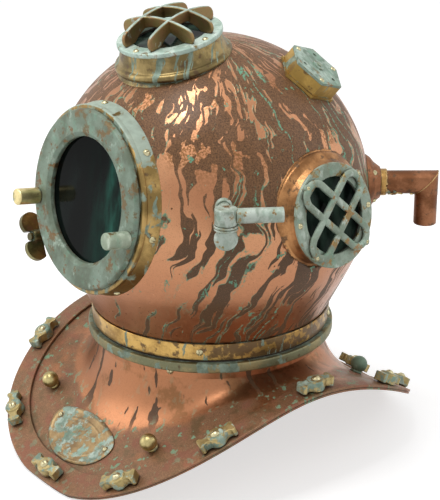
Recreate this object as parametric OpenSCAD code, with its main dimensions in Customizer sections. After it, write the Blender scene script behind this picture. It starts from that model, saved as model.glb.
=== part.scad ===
// Diving helmet of the classic naval pattern: a spun copper bonnet with three glazed ports, joined by an
// interrupted-thread neck ring to a saddle-shaped copper breastplate.
// All sizes are in millimetres. +Z is up, the faceplate looks along -Y and the wearer's left is +X.
// Z = 0 is the surface that the two flaps of the breastplate stand on, under the middle of the neck.

/* [Dome] */
// Outer radius of the spun copper dome
dome_r = 158; // [154:1:162]
// Thickness of the dome's copper
dome_wall = 2.5; // [2:0.1:3]
// Latitude below which the dome runs straight down to its neck
dome_skirt_lat = 27; // [24:1:30]
// How far the dome's foot lies inside the flared top of the neck band
dome_foot_in = 1.4; // [1.2:0.1:1.8]

/* [Breastplate] */
// Height of the neck joint above the surface that the flaps stand on
neck_z = 116.5; // [105:0.5:130]
// Reach of the breastplate's rim to the left and right shoulder
plate_half_x = 176; // [170:1:190]
// Reach of the breastplate's rim to the front and rear
plate_half_y = 205; // [198:1:215]
// Squareness of the rim seen from above, where 2 is an ellipse
plate_square = 2.5; // [2.2:0.1:3]
// How far the rim lies below the neck joint at the shoulders
shoulder_drop = 18; // [15:1:40]
// How quickly the rim falls from shoulder to flap
saddle_power = 2.1; // [1.8:0.1:2.6]
// How far the flaps' curve would run below the feet
foot_run = 4; // [3:0.5:6]
// Depth that the edge of each flap is cut flat by, to stand on
foot_cut = 1; // [0.6:0.2:1.6]
// Thickness of the breastplate's copper
plate_sheet = 2; // [1.5:0.1:3]
// Radius of the breastplate's short upright neck
plate_neck_r = 112.5; // [111:0.5:116]
// Height of that short upright neck
plate_neck_h = 10.5; // [8:0.5:12]
// Share of the fall that lies in the rounded foot of the neck
plate_flare = 0.42; // [0.3:0.02:0.6]
// Tightness of that rounded foot
plate_fillet = 9; // [4:0.5:10]
// Width of the brail strap along the rim
strap_w = 23; // [20:1:30]
// Thickness of the brail strap
strap_t = 3; // [2:0.5:4]

/* [Rim nuts and studs] */
// Turn from the shoulder line to the first nut on each quarter of the rim
nut_turn_1 = 34.5; // [28:0.5:38]
// Turn from the shoulder line to the second nut on each quarter of the rim
nut_turn_2 = 61.5; // [56:0.5:64]
// Distance of the nuts' middles from the rim
nut_inset = 10.5; // [9:0.5:13]
// Length of a rim nut from wing end to wing end
nut_l = 38; // [32:1:42]
// Width of a rim nut's wings
nut_w = 13; // [11:0.5:15]
// Height of a rim nut
nut_h = 11; // [8:0.5:13]
// Radius of a rim nut's round hub
nut_hub_r = 9; // [8:0.5:10]
// Radius of a strap stud's ball
ball_r = 8.5; // [7:0.5:10]
// Turn of a front strap stud from the front middle line
front_ball_turn = 33; // [28:1:40]
// Distance of a front strap stud from the rim
front_ball_inset = 47; // [40:1:52]
// Turn of a rear strap stud from the rear middle line
rear_ball_turn = 48; // [42:1:54]
// Distance of a rear strap stud from the rim
rear_ball_inset = 50; // [44:1:56]
// Half width of the oval plate on the front flap
badge_a = 50; // [44:1:52]
// Half height of the oval plate
badge_b = 27; // [23:1:28]
// Thickness of the oval plate
badge_t = 2; // [1.5:0.1:2.5]
// Distance of the oval plate's middle from the rim of the front flap
badge_inset = 46; // [45:0.5:49]
// Turn of the oval plate from the front middle line
badge_mid = -2; // [-4:1:4]

/* [Neck joint] */
// How far the breastplate's neck flange stands out from its upright neck
flange_w = 12; // [9:0.5:14]
// Thickness of that flange
flange_h = 10; // [8:0.5:11]
// How far the breastplate's threaded collar lies inside its upright neck
collar_step = 4.5; // [4:0.5:5.5]
// Wall of the threaded collar
collar_wall = 6; // [5:0.5:7]
// Thickness of the leather neck gasket
gasket_t = 1.5; // [1:0.5:2.5]
// How far the foot of the bonnet's neck band stands out from the upright neck
band_w = 7.5; // [6.5:0.5:9]
// How far the neck band flares out from its foot to its top
band_flare = 1; // [0.5:0.5:2]
// Height of the bonnet's neck band
band_h = 17.2; // [16.6:0.2:22]
// Radial depth of a thread lug
lug_d = 3; // [2:0.5:3]
// Number of lugs in the interrupted thread
lug_count = 4; // [3:1:4]
// Width of a lug, as the angle that it spans
lug_span = 38; // [30:1:40]
// Height of a lug
lug_h = 4; // [3:0.5:4.5]
// Turn from the shoulder line to the screws of the neck band
band_screw_turn = 42; // [36:1:48]
// Turn from the shoulder line to the screws of the breastplate's neck
neck_screw_turn = 57; // [50:1:62]

/* [Faceplate] */
// Upward tilt of the faceplate
face_tilt = 8.4; // [6:0.2:10]
// How far the front of the faceplate ring stands out from the seat's foot on the dome
face_stand = 24.3; // [22.3:0.5:26.3]
// Radius of the clear glass
face_clear_r = 60; // [57:0.5:62]
// Width of the rebate between the clear glass and the seat's threaded bore
rebate_w = 18; // [16:0.5:19]
// Thickness of the seat's wall at its foot
seat_wall = 15; // [13:0.5:16]
// How far the faceplate ring's front reaches over the seat's bore
face_ring_w = 7; // [6:0.5:9]
// How far the ring stands out of its seat
face_ring_h = 6; // [5:0.5:8]
// Thickness of the faceplate glass
face_glass_t = 10; // [8:0.5:11]
// Radius of the two turning posts
post_r = 8; // [6:0.5:9]
// Length of the turning posts
post_l = 24; // [18:1:28]
// Angle of the posts below the ring's level line
post_drop = 12; // [0:1:20]
// Distance of the posts' axes from the ring's edge
post_inset = 6; // [5:0.5:10]

/* [Lock nut] */
// Distance of the lock stud from the foot of the faceplate's seat
lock_off = 26.8; // [24.8:0.5:28.8]
// Turn of the lock stud below the faceplate's level line
lock_low = 33.4; // [30.4:1:36.4]
// Turn of the wing nut at rest
lock_turn = 34; // [0:1:60]
// How far the face that the wing nut clamps on lies behind the seat's foot
lock_drop = 0.7; // [0:0.1:1.2]
// Radius of the lock stud
stud_r = 4; // [3:0.5:5]
// Radius of a wing's round lobe
wing_r = 12; // [10:0.5:13]
// Thickness of the wings
wing_t = 5; // [4:0.5:6]

/* [Side ports] */
// How far a side port's ring stands above the dome's crown line
side_stand = 12; // [10:0.5:15]
// Turn of a side port's place towards the rear
side_place_az = 6; // [4:0.5:8]
// Rise of a side port's place
side_place_el = 6.2; // [5:0.2:8]
// Turn of a side port's own axis towards the rear
side_az = 4.5; // [3:0.5:6]
// Upward tilt of a side port's own axis
side_el = 12; // [9:0.5:13]
// Upward tilt of a side port's tube between dome and ring
side_tube_el = 3; // [0:0.5:8]
// Radius of a side port's opening
side_open_r = 36; // [34:0.5:37]
// Width of a side port's ring
side_ring_w = 13; // [12:0.5:14]
// Thickness of a side port's ring
side_ring_t = 4; // [3:0.5:5]
// How far a side port's seat flares out beyond its ring
side_flare = 7; // [5:0.5:9]
// Thickness of the port glass
port_glass_t = 6; // [5:0.5:7]
// Width of the bars of a side guard
bar_w = 7; // [5:0.5:8]
// Thickness of the bars of a side guard
bar_t = 5; // [4:0.5:6]
// Width of each loop of a side guard, from bar middle to bar middle
loop_w = 24; // [21:0.5:25]
// How far the ends of the loops lie inside the ring's edge
loop_inset = 1; // [0:0.5:3]

/* [Top port] */
// How far the top port's flange stands above the dome's crown line
top_stand = 16; // [14:0.5:19]
// Turn of the top port's place towards the front
top_place = 16; // [14:0.5:18]
// Forward tilt of the top port's own axis
top_tilt = 11.5; // [9:0.5:14]
// Width of the top port's flange
top_ring_w = 15; // [13:0.5:17]
// Thickness of the top port's flange
top_ring_t = 5; // [4:0.5:6]
// Radius of the top port's opening
top_open_r = 36; // [34:0.5:37]
// How far the bead round the top port's foot stands out beyond the flange
bead_out = 6; // [5:0.5:7]
// Depth of that bead below the flange
bead_drop = 24; // [23:0.5:25]
// Turn of the guard about the port's axis
blade_turn = 11; // [0:1:20]
// Distance from the port's axis to the blades of one pair
blade_off = 16.5; // [14:0.5:18]
// Distance from the port's axis to the blades that cross them
cross_off = 13.5; // [12:0.5:16]
// Thickness of a guard blade
blade_t = 3.6; // [3:0.2:4.4]
// Height of a guard blade's crown above the flange
blade_h = 21.5; // [19:0.5:24]
// How far the ends of a guard blade lie inside the flange's edge
blade_inset = 6; // [5:0.5:8]
// Radius of a guard blade's rounded end
blade_end_r = 9; // [7:0.5:10]
// Height of the arch under a guard blade
arch_h = 11; // [8:1:13]
// Length of a guard blade's foot beyond its arch
blade_foot = 14; // [12:1:18]

/* [Elbows] */
// Turn of an elbow from the shoulder line towards the rear
elbow_az = 53; // [48:1:58]
// Height of an elbow's level tube above the dome's centre
elbow_up = 9; // [4:1:14]
// Outer radius of an elbow's tube
tube_r = 11.6; // [10:0.2:12.4]
// Wall of an elbow's tube
tube_wall = 2; // [1.5:0.1:2.5]
// How far an elbow's upright leg stands out beyond the dome's crown line
elbow_out = 57; // [50:1:67]
// Length of an elbow's upright leg below its level tube
leg_l = 43; // [36:1:50]
// Radius of the hose end that is turned on the leg
hose_end_r = 11.4; // [9.8:0.2:11.4]
// Distance of the turned hose end below the heel of the elbow's mitre
hose_end_drop = 1.4; // [1:0.2:4]
// Radius of an elbow's conical foot inside the dome's wall
cone_r = 32; // [29:1:34]
// Height of an elbow's foot above the dome's crown line
cone_h = 13; // [11:0.5:15]
// Length of an elbow's foot, with the part that the dome hides
cone_l = 30; // [28:0.5:32]

/* [Exhaust valve] */
// Turn of the exhaust valve from the shoulder line towards the rear
valve_az = 35; // [31:1:39]
// Rise of the exhaust valve on the dome
valve_el = 51.7; // [49:0.5:54]
// Radius of the valve's six-sided body over its corners
hex_r = 30; // [28:0.5:32]
// Height of the valve's body above the dome's crown line
hex_h = 13; // [12:0.5:15]
// Thickness of the valve's cover
cover_t = 2.5; // [2:0.5:3.5]

/* [Spitcock] */
// Turn of the spitcock from the shoulder line towards the front
cock_az = -32.4; // [-35:0.2:-30]
// How far the spitcock's barrel stands out beyond the dome's crown line
cock_stand = 17; // [15:0.5:20]
// Height of the spitcock's spout above the dome's centre
cock_up = 36; // [33:0.5:39]
// Radius of the spitcock's barrel
barrel_r = 10.3; // [9.5:0.1:11]
// Height of the spitcock's barrel
barrel_h = 15.5; // [15:0.5:18]
// Radius of the spitcock's plug
plug_r = 6; // [5:0.2:6.4]
// Radius of the spitcock's spout
spout_r = 7; // [6:0.2:7.4]
// Length of the spout beyond the barrel's axis
spout_l = 52; // [44:1:54]
// Radius of the spitcock's round thumb plate
thumb_r = 10.8; // [9:0.2:12]

/* [Clearances] */
// Gap between fixed pieces that seat on each other
seat_gap = 0.2; // [0.1:0.05:0.3]
// Gap between pieces that move on each other
run_gap = 0.3; // [0.2:0.05:0.4]
// Radial running clearance of small spindles
spindle_gap = 0.08; // [0.05:0.01:0.1]

/* [Hidden] */
$fn = 64;

// Colours, after the photograph
copper = "#b5714f";
dull_copper = "#8a5a42";
brass = "#a5853c";
mint = "#9fc3b0";
glass_colour = "#1d2b2a";
leather = "#2b211a";
steel = "#c9c6b8";

dome_in = dome_r - dome_wall;

// Sizes that follow from the neck and the ports' openings
flange_r = plate_neck_r + flange_w;
collar_r = plate_neck_r - collar_step;
band_foot_r = plate_neck_r + band_w;
band_top_r = band_foot_r + band_flare;
gasket_z = neck_z + flange_h;
band_z = gasket_z + gasket_t + run_gap;
dome_foot_z = band_z + band_h + seat_gap;
dome_foot_r = band_top_r - dome_foot_in;
// The dome's centre lies where its cone, tangent to the sphere, meets the foot's circle
dome_z = dome_foot_z + (dome_r * cos(dome_skirt_lat) - dome_foot_r) / tan(dome_skirt_lat)
    + dome_r * sin(dome_skirt_lat);
face_bore_r = face_clear_r + rebate_w;
face_seat_r = face_bore_r + seat_wall;
face_ring_r = face_bore_r + face_ring_w;
side_ring_r = side_open_r + side_ring_w;
side_seat_r = side_ring_r + side_flare;
loop_reach = side_ring_r - loop_inset;
top_ring_r = top_open_r + top_ring_w;
bead_r = top_ring_r + bead_out;
blade_half = top_ring_r - blade_inset;
arch_half = blade_half - blade_foot;
side_front = dome_r + side_stand;
top_front = dome_r + top_stand;
cock_reach = dome_r + cock_stand;
elbow_reach = dome_r + elbow_out;

// Distance along an axis through the dome's centre at which a circle of radius r lies on the dome
function on_dome(r) = sqrt(dome_r * dome_r - r * r);
face_front = on_dome(face_seat_r) + face_stand;
post_reach = face_ring_r - post_inset;
// Unit vector at a turn about Z and a rise above level
function heading(az, el) = [cos(az) * cos(el), sin(az) * cos(el), sin(el)];

// Draws children as they are on the wearer's left, or mirrored on the wearer's right
module on_side(side) {
    if (side > 0) children();
    else mirror([1, 0, 0]) children();
}

// A round-head slotted screw: the head sits on Z = 0 and the shank goes down
screw_head_r = 3.4;
screw_head_h = 2;
screw_shank_r = 1.6;
screw_shank_l = 4;
// Sizes of the other screws, as shares of this one
guard_screw = 0.6;
small_screw = 0.8;
top_screw = 0.9;
nut_screw = 1.3;
// Clearances under a screw's head, round its shank and below its end
head_gap = 0.1;
shank_gap = 0.1;
hole_spare = 0.3;
slot_w = 0.8;
module screw(k = 1, shank_l = screw_shank_l) {
    ball = (screw_head_r * screw_head_r + screw_head_h * screw_head_h) / (2 * screw_head_h);
    scale(k) difference() {
        union() {
            intersection() {
                translate([0, 0, screw_head_h - ball]) sphere(ball, $fn = 32);
                cylinder(r = screw_head_r + 1, h = screw_head_h + 1, $fn = 32);
            }
            translate([0, 0, -shank_l]) cylinder(r = screw_shank_r, h = shank_l + 0.5, $fn = 24);
        }
        translate([-screw_head_r, -slot_w / 2, screw_head_h * 0.55])
            cube([2 * screw_head_r, slot_w, screw_head_h]);
    }
}
module screw_hole(k = 1) {
    scale(k) translate([0, 0, -screw_shank_l - hole_spare])
        cylinder(r = screw_shank_r + shank_gap, h = screw_shank_l + hole_spare + 1, $fn = 24);
}

// Breastplate
// The sheet's underside is a net of points. Angle a runs round the neck, and row k runs from the top of
// the upright neck (0) through its foot (1) and down the slope to the strap's inner edge (slope_rows + 1)
// and the rim (last_row).
around = 96;
slope_rows = 10;
strap_rows = 2;
last_row = 1 + slope_rows + strap_rows;
flap_drop = neck_z + foot_run;
function plan_r(a) = pow(pow(abs(cos(a)) / plate_half_x, plate_square)
                       + pow(abs(sin(a)) / plate_half_y, plate_square), -1 / plate_square);
function rim_drop(a) = min(neck_z + foot_cut, shoulder_drop
                       + (flap_drop - shoulder_drop) * pow(abs(sin(a)), saddle_power));
function slope_share(u) = (1 - plate_flare) * u
    + plate_flare * (1 - pow(1 - min(max(u, 0), 1), plate_fillet));
function drop_at(a, r) = let (u = (r - plate_neck_r) / (plan_r(a) - plate_neck_r))
    plate_neck_h + (rim_drop(a) - plate_neck_h) * slope_share(u);
// The rows lie closer together near the neck, where the slope is rounded
row_spread = 1.8;
function row_r(a, k) = let (inner = plan_r(a) - strap_w)
    k <= 1 ? plate_neck_r
    : k <= slope_rows + 1 ? plate_neck_r + (inner - plate_neck_r) * pow((k - 1) / slope_rows, row_spread)
    : inner + strap_w * (k - slope_rows - 1) / strap_rows;
// Radius and height of the underside at angle a and row k
function under(a, k) = let (r = row_r(a, k)) [r, k == 0 ? neck_z : neck_z - drop_at(a, r)];
// Outward unit normal of the slope, in the plane through the neck's middle line
function slope_normal(a, k) = let (
    p = under(a, max(k - 1, 0)), q = under(a, min(k + 1, last_row)), d = q - p)
    [-d[1], d[0]] / norm(d);
// A point of the sheet, off mm above its underside
function sheet_point(a, k, off) = let (p = under(a, k) + off * slope_normal(a, k))
    [p[0] * cos(a), p[0] * sin(a), p[1]];
// Point and normal of the sheet's top at angle a and any radius r
function top_rz(a, r) = [r, neck_z - drop_at(a, r)];
function top_normal(a, r) = let (d = top_rz(a, r + 1) - top_rz(a, r - 1)) [-d[1], d[0]] / norm(d);

// A closed band between rows k0 and k1, from off0 to off1 above the sheet's underside
module sheet_band(k0, k1, off0, off1) {
    rows = k1 - k0 + 1;
    loop_n = 2 * rows;
    points = [for (i = [0:around - 1]) let (a = 360 * i / around)
        each [for (k = [k0:k1]) sheet_point(a, k, off1),
              for (k = [k1:-1:k0]) sheet_point(a, k, off0)]];
    // Quads above and below are split the same way, so that two bands that meet share their facets
    faces = [for (i = [0:around - 1]) for (j = [0:loop_n - 1])
        let (m = (i + 1) % around, n = (j + 1) % loop_n)
        each j < rows
            ? [[i * loop_n + j, m * loop_n + j, m * loop_n + n],
               [i * loop_n + j, m * loop_n + n, i * loop_n + n]]
            : [[i * loop_n + j, m * loop_n + j, i * loop_n + n],
               [m * loop_n + j, m * loop_n + n, i * loop_n + n]]];
    polyhedron(points = points, faces = faces, convexity = 6);
}

// A point off mm above the sheet's underside at angle a and radius r
function plate_point(a, r, off) =
    let (p = top_rz(a, r) + off * top_normal(a, r)) [p[0] * cos(a), p[0] * sin(a), p[1]];
// Places children off mm above the sheet's underside and gap mm clear of it, at angle a and radius r, with +Z
// along the surface's normal and +X along the rim
module on_plate(a, r, off, gap) {
    inset = plan_r(a) - r;
    along = plate_point(a + 1, plan_r(a + 1) - inset, off) - plate_point(a - 1, plan_r(a - 1) - inset, off);
    down = plate_point(a, r + 1, off) - plate_point(a, r - 1, off);
    n = cross(down, along) / norm(cross(down, along));
    lean = acos(n[2]);
    turn = atan2(n[1], n[0]);
    spin = atan2(along * [-sin(turn), cos(turn), 0],
                 along * [cos(lean) * cos(turn), cos(lean) * sin(turn), -sin(lean)]);
    translate(plate_point(a, r, off) + gap * n) rotate([0, lean, turn]) rotate([0, 0, spin]) children();
}

module breastplate() {
    color(dull_copper) difference() {
        sheet_band(0, last_row, 0, plate_sheet);
        translate([-plate_half_x, -plate_half_y * 1.5, -2 * foot_cut])
            cube([2 * plate_half_x, plate_half_y * 3, 2 * foot_cut]);
    }
}

strap_off = plate_sheet + seat_gap;
module brail_strap() {
    color(dull_copper) sheet_band(slope_rows + 1, last_row, strap_off, strap_off + strap_t);
}

// Rim nuts, each a round hub with two square wings, seated on the strap
hub_cut_r = 5;
nut_turns = [0, nut_turn_1, nut_turn_2, 90, 180 - nut_turn_2, 180 - nut_turn_1];
module each_nut() {
    for (turn = nut_turns) for (half = [0, 180])
        on_plate(turn + half, plan_r(turn + half) - nut_inset, strap_off + strap_t, run_gap) children();
}
module nut_body() {
    wing_l = (nut_l - 2 * nut_hub_r) / 2 + 2;
    difference() {
        union() {
            cylinder(r = nut_hub_r, h = nut_h);
            for (s = [-1, 1])
                translate([s * (nut_l - wing_l) / 2 - wing_l / 2, -nut_w / 2, 1])
                    cube([wing_l, nut_w, nut_h - 2]);
        }
        for (s = [-1, 1]) for (t = [-1, 1])
            translate([s * (nut_hub_r + 2), t * (nut_w / 2 + 2.5), -1])
                cylinder(r = hub_cut_r, h = nut_h + 2);
        translate([0, 0, nut_h]) screw_hole(nut_screw);
    }
}
module rim_nuts() {
    color(mint) each_nut() nut_body();
}
module rim_nut_screws() {
    color(steel) each_nut() translate([0, 0, nut_h + seat_gap]) screw(nut_screw);
}

// Strap studs, two at the front and two at the rear
stud_base_r = 6;
stud_base_h = 2;
module strap_stud() {
    cylinder(r = stud_base_r, h = stud_base_h);
    translate([0, 0, ball_r]) sphere(ball_r);
}
module stud_at(a, inset) {
    on_plate(a, plan_r(a) - inset, plate_sheet, run_gap) strap_stud();
}
module strap_studs() {
    color(brass) for (s = [-1, 1]) {
        stud_at(-90 + s * front_ball_turn, front_ball_inset);
        stud_at(90 + s * rear_ball_turn, rear_ball_inset);
    }
}

// Oval plate on the front flap, bent to lie on it. Its points run in rings round the middle.
badge_rings = 4;
badge_around = 40;
badge_gap = 0.25;
badge_reach = plate_half_y - badge_inset;
badge_screw_x = badge_a - 7;
badge_lean = atan((drop_at(-90, badge_reach + 1) - drop_at(-90, badge_reach - 1)) / 2);
function badge_turn(x) = -90 + badge_mid + x / badge_reach * 180 / PI;
function badge_point(t, f, off) = let (
    a = badge_turn(badge_a * t * cos(f)), r = badge_reach - badge_b * t * sin(f) * cos(badge_lean),
    n = top_normal(a, r), p = top_rz(a, r) + (plate_sheet + badge_gap + off) * n)
    [p[0] * cos(a), p[0] * sin(a), p[1]];
module badge_body() {
    m = badge_around;
    side_n = 1 + badge_rings * m;
    points = [for (off = [badge_t, 0]) each [
        badge_point(0, 0, off),
        for (i = [1:badge_rings]) for (j = [0:m - 1]) badge_point(i / badge_rings, 360 * j / m, off)]];
    function at(side, i, j) = side * side_n + 1 + (i - 1) * m + j % m;
    fans = [for (j = [0:m - 1]) each [
        [0, at(0, 1, j + 1), at(0, 1, j)], [side_n, at(1, 1, j), at(1, 1, j + 1)]]];
    rings = [for (i = [1:badge_rings - 1]) for (j = [0:m - 1]) each [
        [at(0, i, j), at(0, i, j + 1), at(0, i + 1, j + 1)],
        [at(0, i, j), at(0, i + 1, j + 1), at(0, i + 1, j)],
        [at(1, i, j), at(1, i + 1, j + 1), at(1, i, j + 1)],
        [at(1, i, j), at(1, i + 1, j), at(1, i + 1, j + 1)]]];
    edge = [for (j = [0:m - 1]) each [
        [at(0, badge_rings, j), at(0, badge_rings, j + 1), at(1, badge_rings, j + 1)],
        [at(0, badge_rings, j), at(1, badge_rings, j + 1), at(1, badge_rings, j)]]];
    polyhedron(points = points, faces = concat(fans, rings, edge), convexity = 4);
}
module each_badge_screw() {
    for (s = [-1, 1])
        on_plate(badge_turn(s * badge_screw_x), badge_reach, plate_sheet, badge_gap + badge_t) children();
}
module badge_plate() {
    color(mint) difference() {
        badge_body();
        each_badge_screw() translate([0, 0, -badge_t - 1]) cylinder(r = 1.5, h = badge_t + 3, $fn = 16);
    }
}
module badge_screws() {
    color(steel) each_badge_screw() translate([0, 0, seat_gap]) screw(small_screw, badge_t);
}

// Neck joint
// Inner radius of the dome at its foot
function foot_r(z) =
    dome_in * cos(dome_skirt_lat) - (dome_z - dome_in * sin(dome_skirt_lat) - z) * tan(dome_skirt_lat);
// The breastplate's collar carries outward lugs, and the bonnet's band carries inward lugs under them
collar_in = collar_r - collar_wall;
shelf_t = 3;
shelf_z = band_z + band_h - shelf_t;
collar_top = shelf_z - run_gap;
band_bore_r = collar_r + lug_d + run_gap + 0.2;
upper_lug_z = collar_top - lug_h - 1;
lower_lug_z = upper_lug_z - run_gap - lug_h;
shelf_in = collar_in + 2;
spigot_h = 6;
module lugs(r0, r1, z) {
    for (i = [0:lug_count - 1])
        rotate([0, 0, 360 * i / lug_count - lug_span / 2])
            translate([0, 0, z]) rotate_extrude(angle = lug_span) translate([r0, 0]) square([r1 - r0, lug_h]);
}
corselet_screw_drop = 4.5;
flange_edge = 1.7;
module four_round(turn) {
    for (a = [turn, -turn, 180 - turn, 180 + turn]) rotate([0, 0, a]) children();
}
module each_corselet_screw() {
    four_round(neck_screw_turn)
        translate([plate_neck_r + plate_sheet + seat_gap, 0, neck_z - corselet_screw_drop])
            rotate([0, 90, 0]) children();
}
module corselet_ring() {
    color(mint) {
        translate([0, 0, neck_z]) rotate_extrude() polygon([
            [collar_in, -plate_neck_h], [plate_neck_r - seat_gap, -plate_neck_h],
            [plate_neck_r - seat_gap, seat_gap], [flange_r - flange_edge, seat_gap],
            [flange_r, seat_gap + flange_edge], [flange_r, flange_h - flange_edge],
            [flange_r - flange_edge, flange_h], [collar_r, flange_h],
            [collar_r, collar_top - neck_z], [collar_in, collar_top - neck_z]]);
        lugs(collar_r - 1, collar_r + lug_d, upper_lug_z);
    }
}
module corselet_screws() {
    color(steel) each_corselet_screw() intersection() {
        screw();
        cylinder(r = screw_head_r + 1, h = screw_head_h + 1);
    }
}
module neck_gasket() {
    color(leather) translate([0, 0, gasket_z]) difference() {
        cylinder(r = band_foot_r - 1, h = gasket_t);
        translate([0, 0, -1]) cylinder(r = collar_r + lug_d + 1, h = gasket_t + 2);
    }
}

band_spigot_r = foot_r(band_z + band_h) - seat_gap - 0.2;
band_screw_z = band_z + band_h * 0.5;
band_edge = 1;
function band_r(z) = band_foot_r + band_flare * (z - band_z - band_edge) / (band_h - 2 * band_edge);
module each_band_screw() {
    four_round(band_screw_turn)
        translate([band_r(band_screw_z), 0, band_screw_z])
            rotate([0, 90 + atan(band_flare / (band_h - 2 * band_edge)), 0]) children();
}
module neck_band() {
    color(brass) difference() {
        union() {
            rotate_extrude() polygon([
                [band_bore_r, band_z], [band_foot_r - band_edge, band_z], [band_foot_r, band_z + band_edge],
                [band_top_r, band_z + band_h - band_edge], [band_top_r - band_edge, band_z + band_h],
                [band_spigot_r, band_z + band_h], [band_spigot_r, band_z + band_h + spigot_h],
                [band_spigot_r - 3, band_z + band_h + spigot_h], [band_spigot_r - 3, band_z + band_h],
                [shelf_in, band_z + band_h], [shelf_in, shelf_z], [band_bore_r, shelf_z]]);
            lugs(collar_r + run_gap, band_bore_r + 1, lower_lug_z);
        }
        each_band_screw() screw_hole();
    }
}
module band_screws() {
    color(steel) each_band_screw() translate([0, 0, head_gap]) screw();
}

// Dome
port_spigot = 6;
side_spigot_r = side_open_r + port_spigot + 1;
top_spigot_r = top_open_r + port_spigot + 1;
face_spigot_r = face_bore_r + 7;
valve_spigot_r = 16;
valve_spigot_in = 6;
cock_shank_r = 6;
// The dome's solid outline for a sphere of radius r, down to height z: a sphere and a cone tangent to it
module dome_outline(r, z) {
    join_z = dome_z - r * sin(dome_skirt_lat);
    join_r = r * cos(dome_skirt_lat);
    difference() {
        translate([0, 0, dome_z]) sphere(r, $fn = 96);
        translate([0, 0, join_z - r]) cylinder(r = r, h = r);
    }
    translate([0, 0, z])
        cylinder(r1 = join_r - (join_z - z) * tan(dome_skirt_lat), r2 = join_r, h = join_z - z, $fn = 96);
}
module dome() {
    color(copper) difference() {
        dome_outline(dome_r, dome_foot_z);
        dome_outline(dome_in, dome_foot_z - 1);
        face_frame() translate([0, 0, dome_r / 2]) cylinder(r = face_spigot_r + seat_gap, h = dome_r);
        for (s = [-1, 1]) side_frame(s)
            translate([0, 0, -dome_r / 2]) cylinder(r = side_spigot_r + seat_gap, h = dome_r);
        top_frame() translate([0, 0, -dome_r / 2]) cylinder(r = top_spigot_r + seat_gap, h = dome_r);
        for (s = [-1, 1]) elbow_frame(s)
            translate([dome_r / 2, 0, 0]) rotate([0, 90, 0]) cylinder(r = tube_r + seat_gap, h = dome_r);
        valve_frame() translate([0, 0, dome_r / 2]) cylinder(r = valve_spigot_r + seat_gap, h = dome_r);
        cock_frame() rotate([0, -90, 0]) cylinder(r = cock_shank_r + seat_gap, h = dome_r / 2);
    }
}

// Faceplate, measured along its own axis from the dome's centre
module face_frame() {
    translate([0, 0, dome_z]) rotate([90 - face_tilt, 0, 0]) children();
}
seat_front = face_front - face_ring_h;
seat_wall_top = face_seat_r - 4;
rebate_d = 14;
face_ledge = seat_front - rebate_d;
ledge_t = 6;
face_gasket_t = 2;
face_glass_z = face_ledge + face_gasket_t + 0.2;
face_glass_r = face_bore_r - 8.5;
ring_lip_z = face_glass_z + face_glass_t + 0.2;
seat_screws_n = 7;
seat_screw_rise = 5.5;
seat_screw_turn = 9;
seat_screw_l = 3;
seat_screw_h = on_dome(face_seat_r) + seat_screw_rise;
function seat_wall_r(h) = face_seat_r + (seat_wall_top - face_seat_r)
    * (h - on_dome(face_seat_r)) / (seat_front - on_dome(face_seat_r));
seat_wall_lean = atan((face_seat_r - seat_wall_top) / (seat_front - on_dome(face_seat_r)));
module each_seat_screw() {
    for (i = [0:seat_screws_n - 1])
        rotate([0, 0, 360 * i / seat_screws_n - seat_screw_turn])
            translate([seat_wall_r(seat_screw_h), 0, seat_screw_h])
                rotate([0, 90 - seat_wall_lean, 0]) children();
}
lock_reach = face_seat_r + lock_off;
lock_face = on_dome(face_seat_r) - lock_drop;
lock_angle = 180 + lock_low;
lock_x = lock_reach * cos(lock_angle);
lock_y = lock_reach * sin(lock_angle);
lug_arm_w = 16;
lug_pad_r = 10;
pad_sink = 3;
pad_h = lock_face - on_dome(lock_reach + lug_pad_r) + pad_sink;
stud_depth = 12;
arm_rise = 2.5;
arm_root_r = (face_bore_r + face_seat_r) / 2 + 1.5;
arm_root_h = 10;
module face_seat() {
    color(brass) face_frame() difference() {
        union() {
            rotate_extrude($fn = 96) polygon([
                [face_clear_r + 3, face_ledge - ledge_t], [face_seat_r, face_ledge - ledge_t],
                [face_seat_r, on_dome(face_seat_r)], [seat_wall_top + 0.6, seat_front - 5],
                [seat_wall_top + 1.2, seat_front - 4], [seat_wall_top + 1.2, seat_front - 1],
                [seat_wall_top, seat_front], [face_bore_r, seat_front], [face_bore_r, face_ledge],
                [face_clear_r + 3, face_ledge]]);
            translate([lock_x, lock_y, lock_face - pad_h]) cylinder(r = lug_pad_r, h = pad_h);
            lug_arm();
        }
        difference() {
            sphere(dome_r + seat_gap, $fn = 96);
            cylinder(r = face_spigot_r, h = dome_r * 2);
        }
        translate([lock_x, lock_y, lock_face - stud_depth - hole_spare])
            cylinder(r = stud_r + shank_gap, h = stud_depth + 8, $fn = 32);
        each_seat_screw() screw_hole();
    }
}
module lug_arm() {
    rotate([0, 0, lock_angle]) translate([0, lug_arm_w / 2, 0]) rotate([90, 0, 0]) linear_extrude(lug_arm_w)
        polygon([[arm_root_r, lock_face - arm_root_h], [arm_root_r, lock_face + arm_root_h],
                 [face_seat_r - 3, lock_face + arm_root_h], [face_seat_r + 1, lock_face + arm_rise],
                 [lock_reach - lug_pad_r + 2, lock_face],
                 [lock_reach, lock_face], [lock_reach, lock_face - pad_h],
                 [lock_reach - lug_pad_r, lock_face - pad_h]]);
}
module face_seat_screws() {
    color(steel) face_frame() each_seat_screw() translate([0, 0, head_gap]) screw(1, seat_screw_l);
}
module face_gasket() {
    color(leather) face_frame() translate([0, 0, face_ledge]) difference() {
        cylinder(r = face_glass_r, h = face_gasket_t);
        translate([0, 0, -1]) cylinder(r = face_clear_r + 3, h = face_gasket_t + 2);
    }
}
module face_glass() {
    color(glass_colour) face_frame() translate([0, 0, face_glass_z])
        cylinder(r = face_glass_r, h = face_glass_t, $fn = 96);
}
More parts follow.
